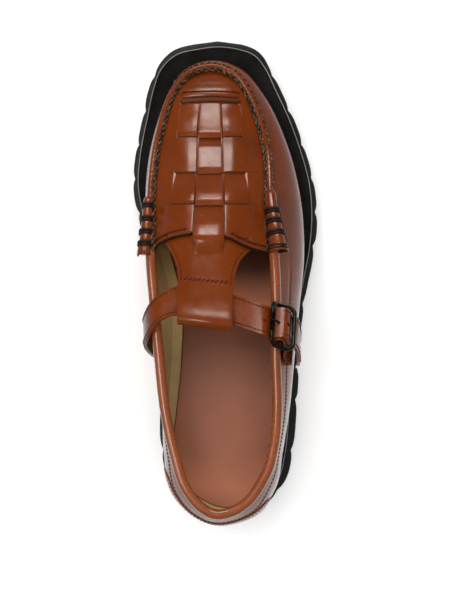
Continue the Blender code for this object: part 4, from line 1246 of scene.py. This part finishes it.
def make_sock():
    """Sock that fills the foot of the upper, its edge rolled down, stitched round the heel."""
    sides = list(zip(*[stretch(LAST, TOE, end, 140) for end in (0, COUNT)]))
    levels = []
    for rise, inset in ((0.2, 0.4), (INSOLE_THICK - 1.3, 0.0), (INSOLE_THICK - 0.6, 0.15),
                        (INSOLE_THICK - 0.15, 0.6), (INSOLE_THICK, 1.3)):
        def height(y, part=rise / INSOLE_THICK):
            return sole_top(y) + heel_cup(y) * part

        levels.append(([[lining_place(t, rise, inset) for t in pair] for pair in sides], height, GAP + rise))
    block("insole_sock", levels, 16, SOCK, ["insole"])
    path = []
    for t in stretch(LAST, COUNT - 3.4, COUNT + 3.4, 160):
        x, y = lining_place(t, INSOLE_THICK, 2.6)
        path.append((Vector((x, y, sole_top(y) + GAP + INSOLE_THICK + heel_cup(y) + 0.05)), UP))
    stitches("sock_stitches", path, *SOCK_STITCH)


def make_cove(name, first, last, widest):
    """Lining that runs out in a hollow over the sock's edge, and a dark line where it ends that paints the
    shade where it meets the sock.
    """
    rows = []
    for number, t in enumerate(stretch(LAST, first, last, 110)):
        part = number / 110
        reach = widest * smooth_step(0.0, 0.15, part) * smooth_step(1.0, 0.7, part)
        row = []
        for k in range(11):
            rise = INSOLE_THICK + 0.1 + 8 * (1 - k / 10)
            x, y = lining_place(t, rise, -0.1 + reach * k / 10)
            row.append(Vector((x, y, sole_top(y) + GAP + rise + heel_cup(y))))
        rows.append(row)
    grid(name, rows, [LINING], 0.4)
    # A dark bar along the lining's lower edge paints the shade where it meets the sock.
    bar(name + "_edge", [row[-1] for row in rows], 0.3, EDGE_AND_SHADE_BROWN, 8)


# ---- stage

# Height of a direction, brightness
ROOM = [(0.0, 1.15), (0.25, 0.5), (0.45, 0.22), (0.55, 0.08), (1.0, 0.03)]


def make_floor():
    """Plain pale floor."""
    work = bmesh.new()
    work.faces.new([work.verts.new((x, y, 0)) for x, y in ((-3, -3), (3, -3), (3, 3), (-3, 3))])
    material, tree, shader = new_material("floor_paper", Roughness=0.8, Specular_IOR_Level=0.2,
                                          Emission_Color=(1, 1, 1, 1), Emission_Strength=0.14)
    wire(tree, shader, Base_Color=ramp(tree, noise(tree, 3, 2), (0.3, (0.95,) * 3), (0.7, (0.97,) * 3)))
    floor = add_object("floor", work, [material])
    floor.visible_glossy = False


def softbox(name, place, aim, size_x, size_y, power, colour=(1.0, 0.91, 0.84)):
    """Rectangular light at a place in metres, turned to its aim."""
    data = bpy.data.lights.new(name, "AREA")
    data.shape = "RECTANGLE"
    data.size = size_x
    data.size_y = size_y
    data.energy = power
    data.color = colour
    lamp = bpy.data.objects.new(name, data)
    lamp.location = place
    lamp.rotation_euler = (Vector(aim) - Vector(place)).to_track_quat("-Z", "Y").to_euler()
    bpy.context.scene.collection.objects.link(lamp)
    return lamp


def make_light():
    """Softboxes in front and at the left of a dim room, and a broad fill that adds no highlights."""
    world = bpy.data.worlds.new("studio")
    world.use_nodes = True
    tree = world.node_tree
    direction = add_node(tree, "TexCoord").outputs["Generated"]
    height = spread(tree, add_node(tree, "SeparateXYZ", Vector=direction).outputs["Z"], 0, 1, -1, 1)
    brightness = ramp(tree, height, *[(place, (level,) * 3) for place, level in ROOM])
    wire(tree, tree.nodes["Background"], Color=brightness)
    bpy.context.scene.world = world
    softbox("front_light", (0.0, 1.25, 0.98), (0, 0.03, 0.06), 0.95, 0.28, 6.5)
    softbox("front_glow", (-0.17, 1.28, 1.0), (0, 0.03, 0.06), 1.36, 0.3, 2.1)
    softbox("left_light", (-1.0, -0.2, 1.1), (0, 0, 0.05), 0.35, 1.0, 1.7)
    softbox("upper_left_light", (-0.52, 0.16, 1.4), (0, -0.05, 0.06), 0.34, 0.52, 3.4)
    softbox("fill_light", (0.0, 0.0, 2.0), (0, 0, 0), 2.8, 2.8, 60, (1, 1, 1)).visible_glossy = False
    bpy.context.scene.view_settings.view_transform = "Standard"


def make_camera():
    """Straight down over the shoe, as the photograph was taken."""
    data = bpy.data.cameras.new("camera")
    data.sensor_fit = "VERTICAL"
    data.sensor_height = 36
    data.lens = 124.9
    data.clip_start = 0.05
    camera = bpy.data.objects.new("camera", data)
    camera.location = at((-0.3, -13.0, 1200))
    bpy.context.scene.collection.objects.link(camera)
    bpy.context.scene.camera = camera


make_midsole()
make_tread("outsole_lugs", SOLE_NOTCHES, TOE_TIP[1], BREAST_Y + GAP, OUTSOLE_BOTTOM, 0, "outsole")
make_tread("heel_lugs", HEEL_NOTCHES, BREAST_Y, HEEL_TIP[1], HEEL_BOTTOM, HEEL_FLARE, "heel")
make_upper()
make_collar()
make_ridge()
for beefroll in BEEFROLLS:
    make_beefroll(*beefroll)
apron_ground = make_apron()
make_weave(apron_ground)
make_front_band(apron_ground)
make_throat(apron_ground)
stem_ground = Ground(make_t_bar())
make_stem_strip(apron_ground, stem_ground)
make_strap()
make_tab()
make_buckle()
make_sock()
make_cove("lining_cove", TOE + 0.8, COUNT - 1.2, 3.2)
make_cove("lining_cove_heel", COUNT - 1.9, COUNT + 3.0, 2.8)
make_floor()
make_light()
make_camera()
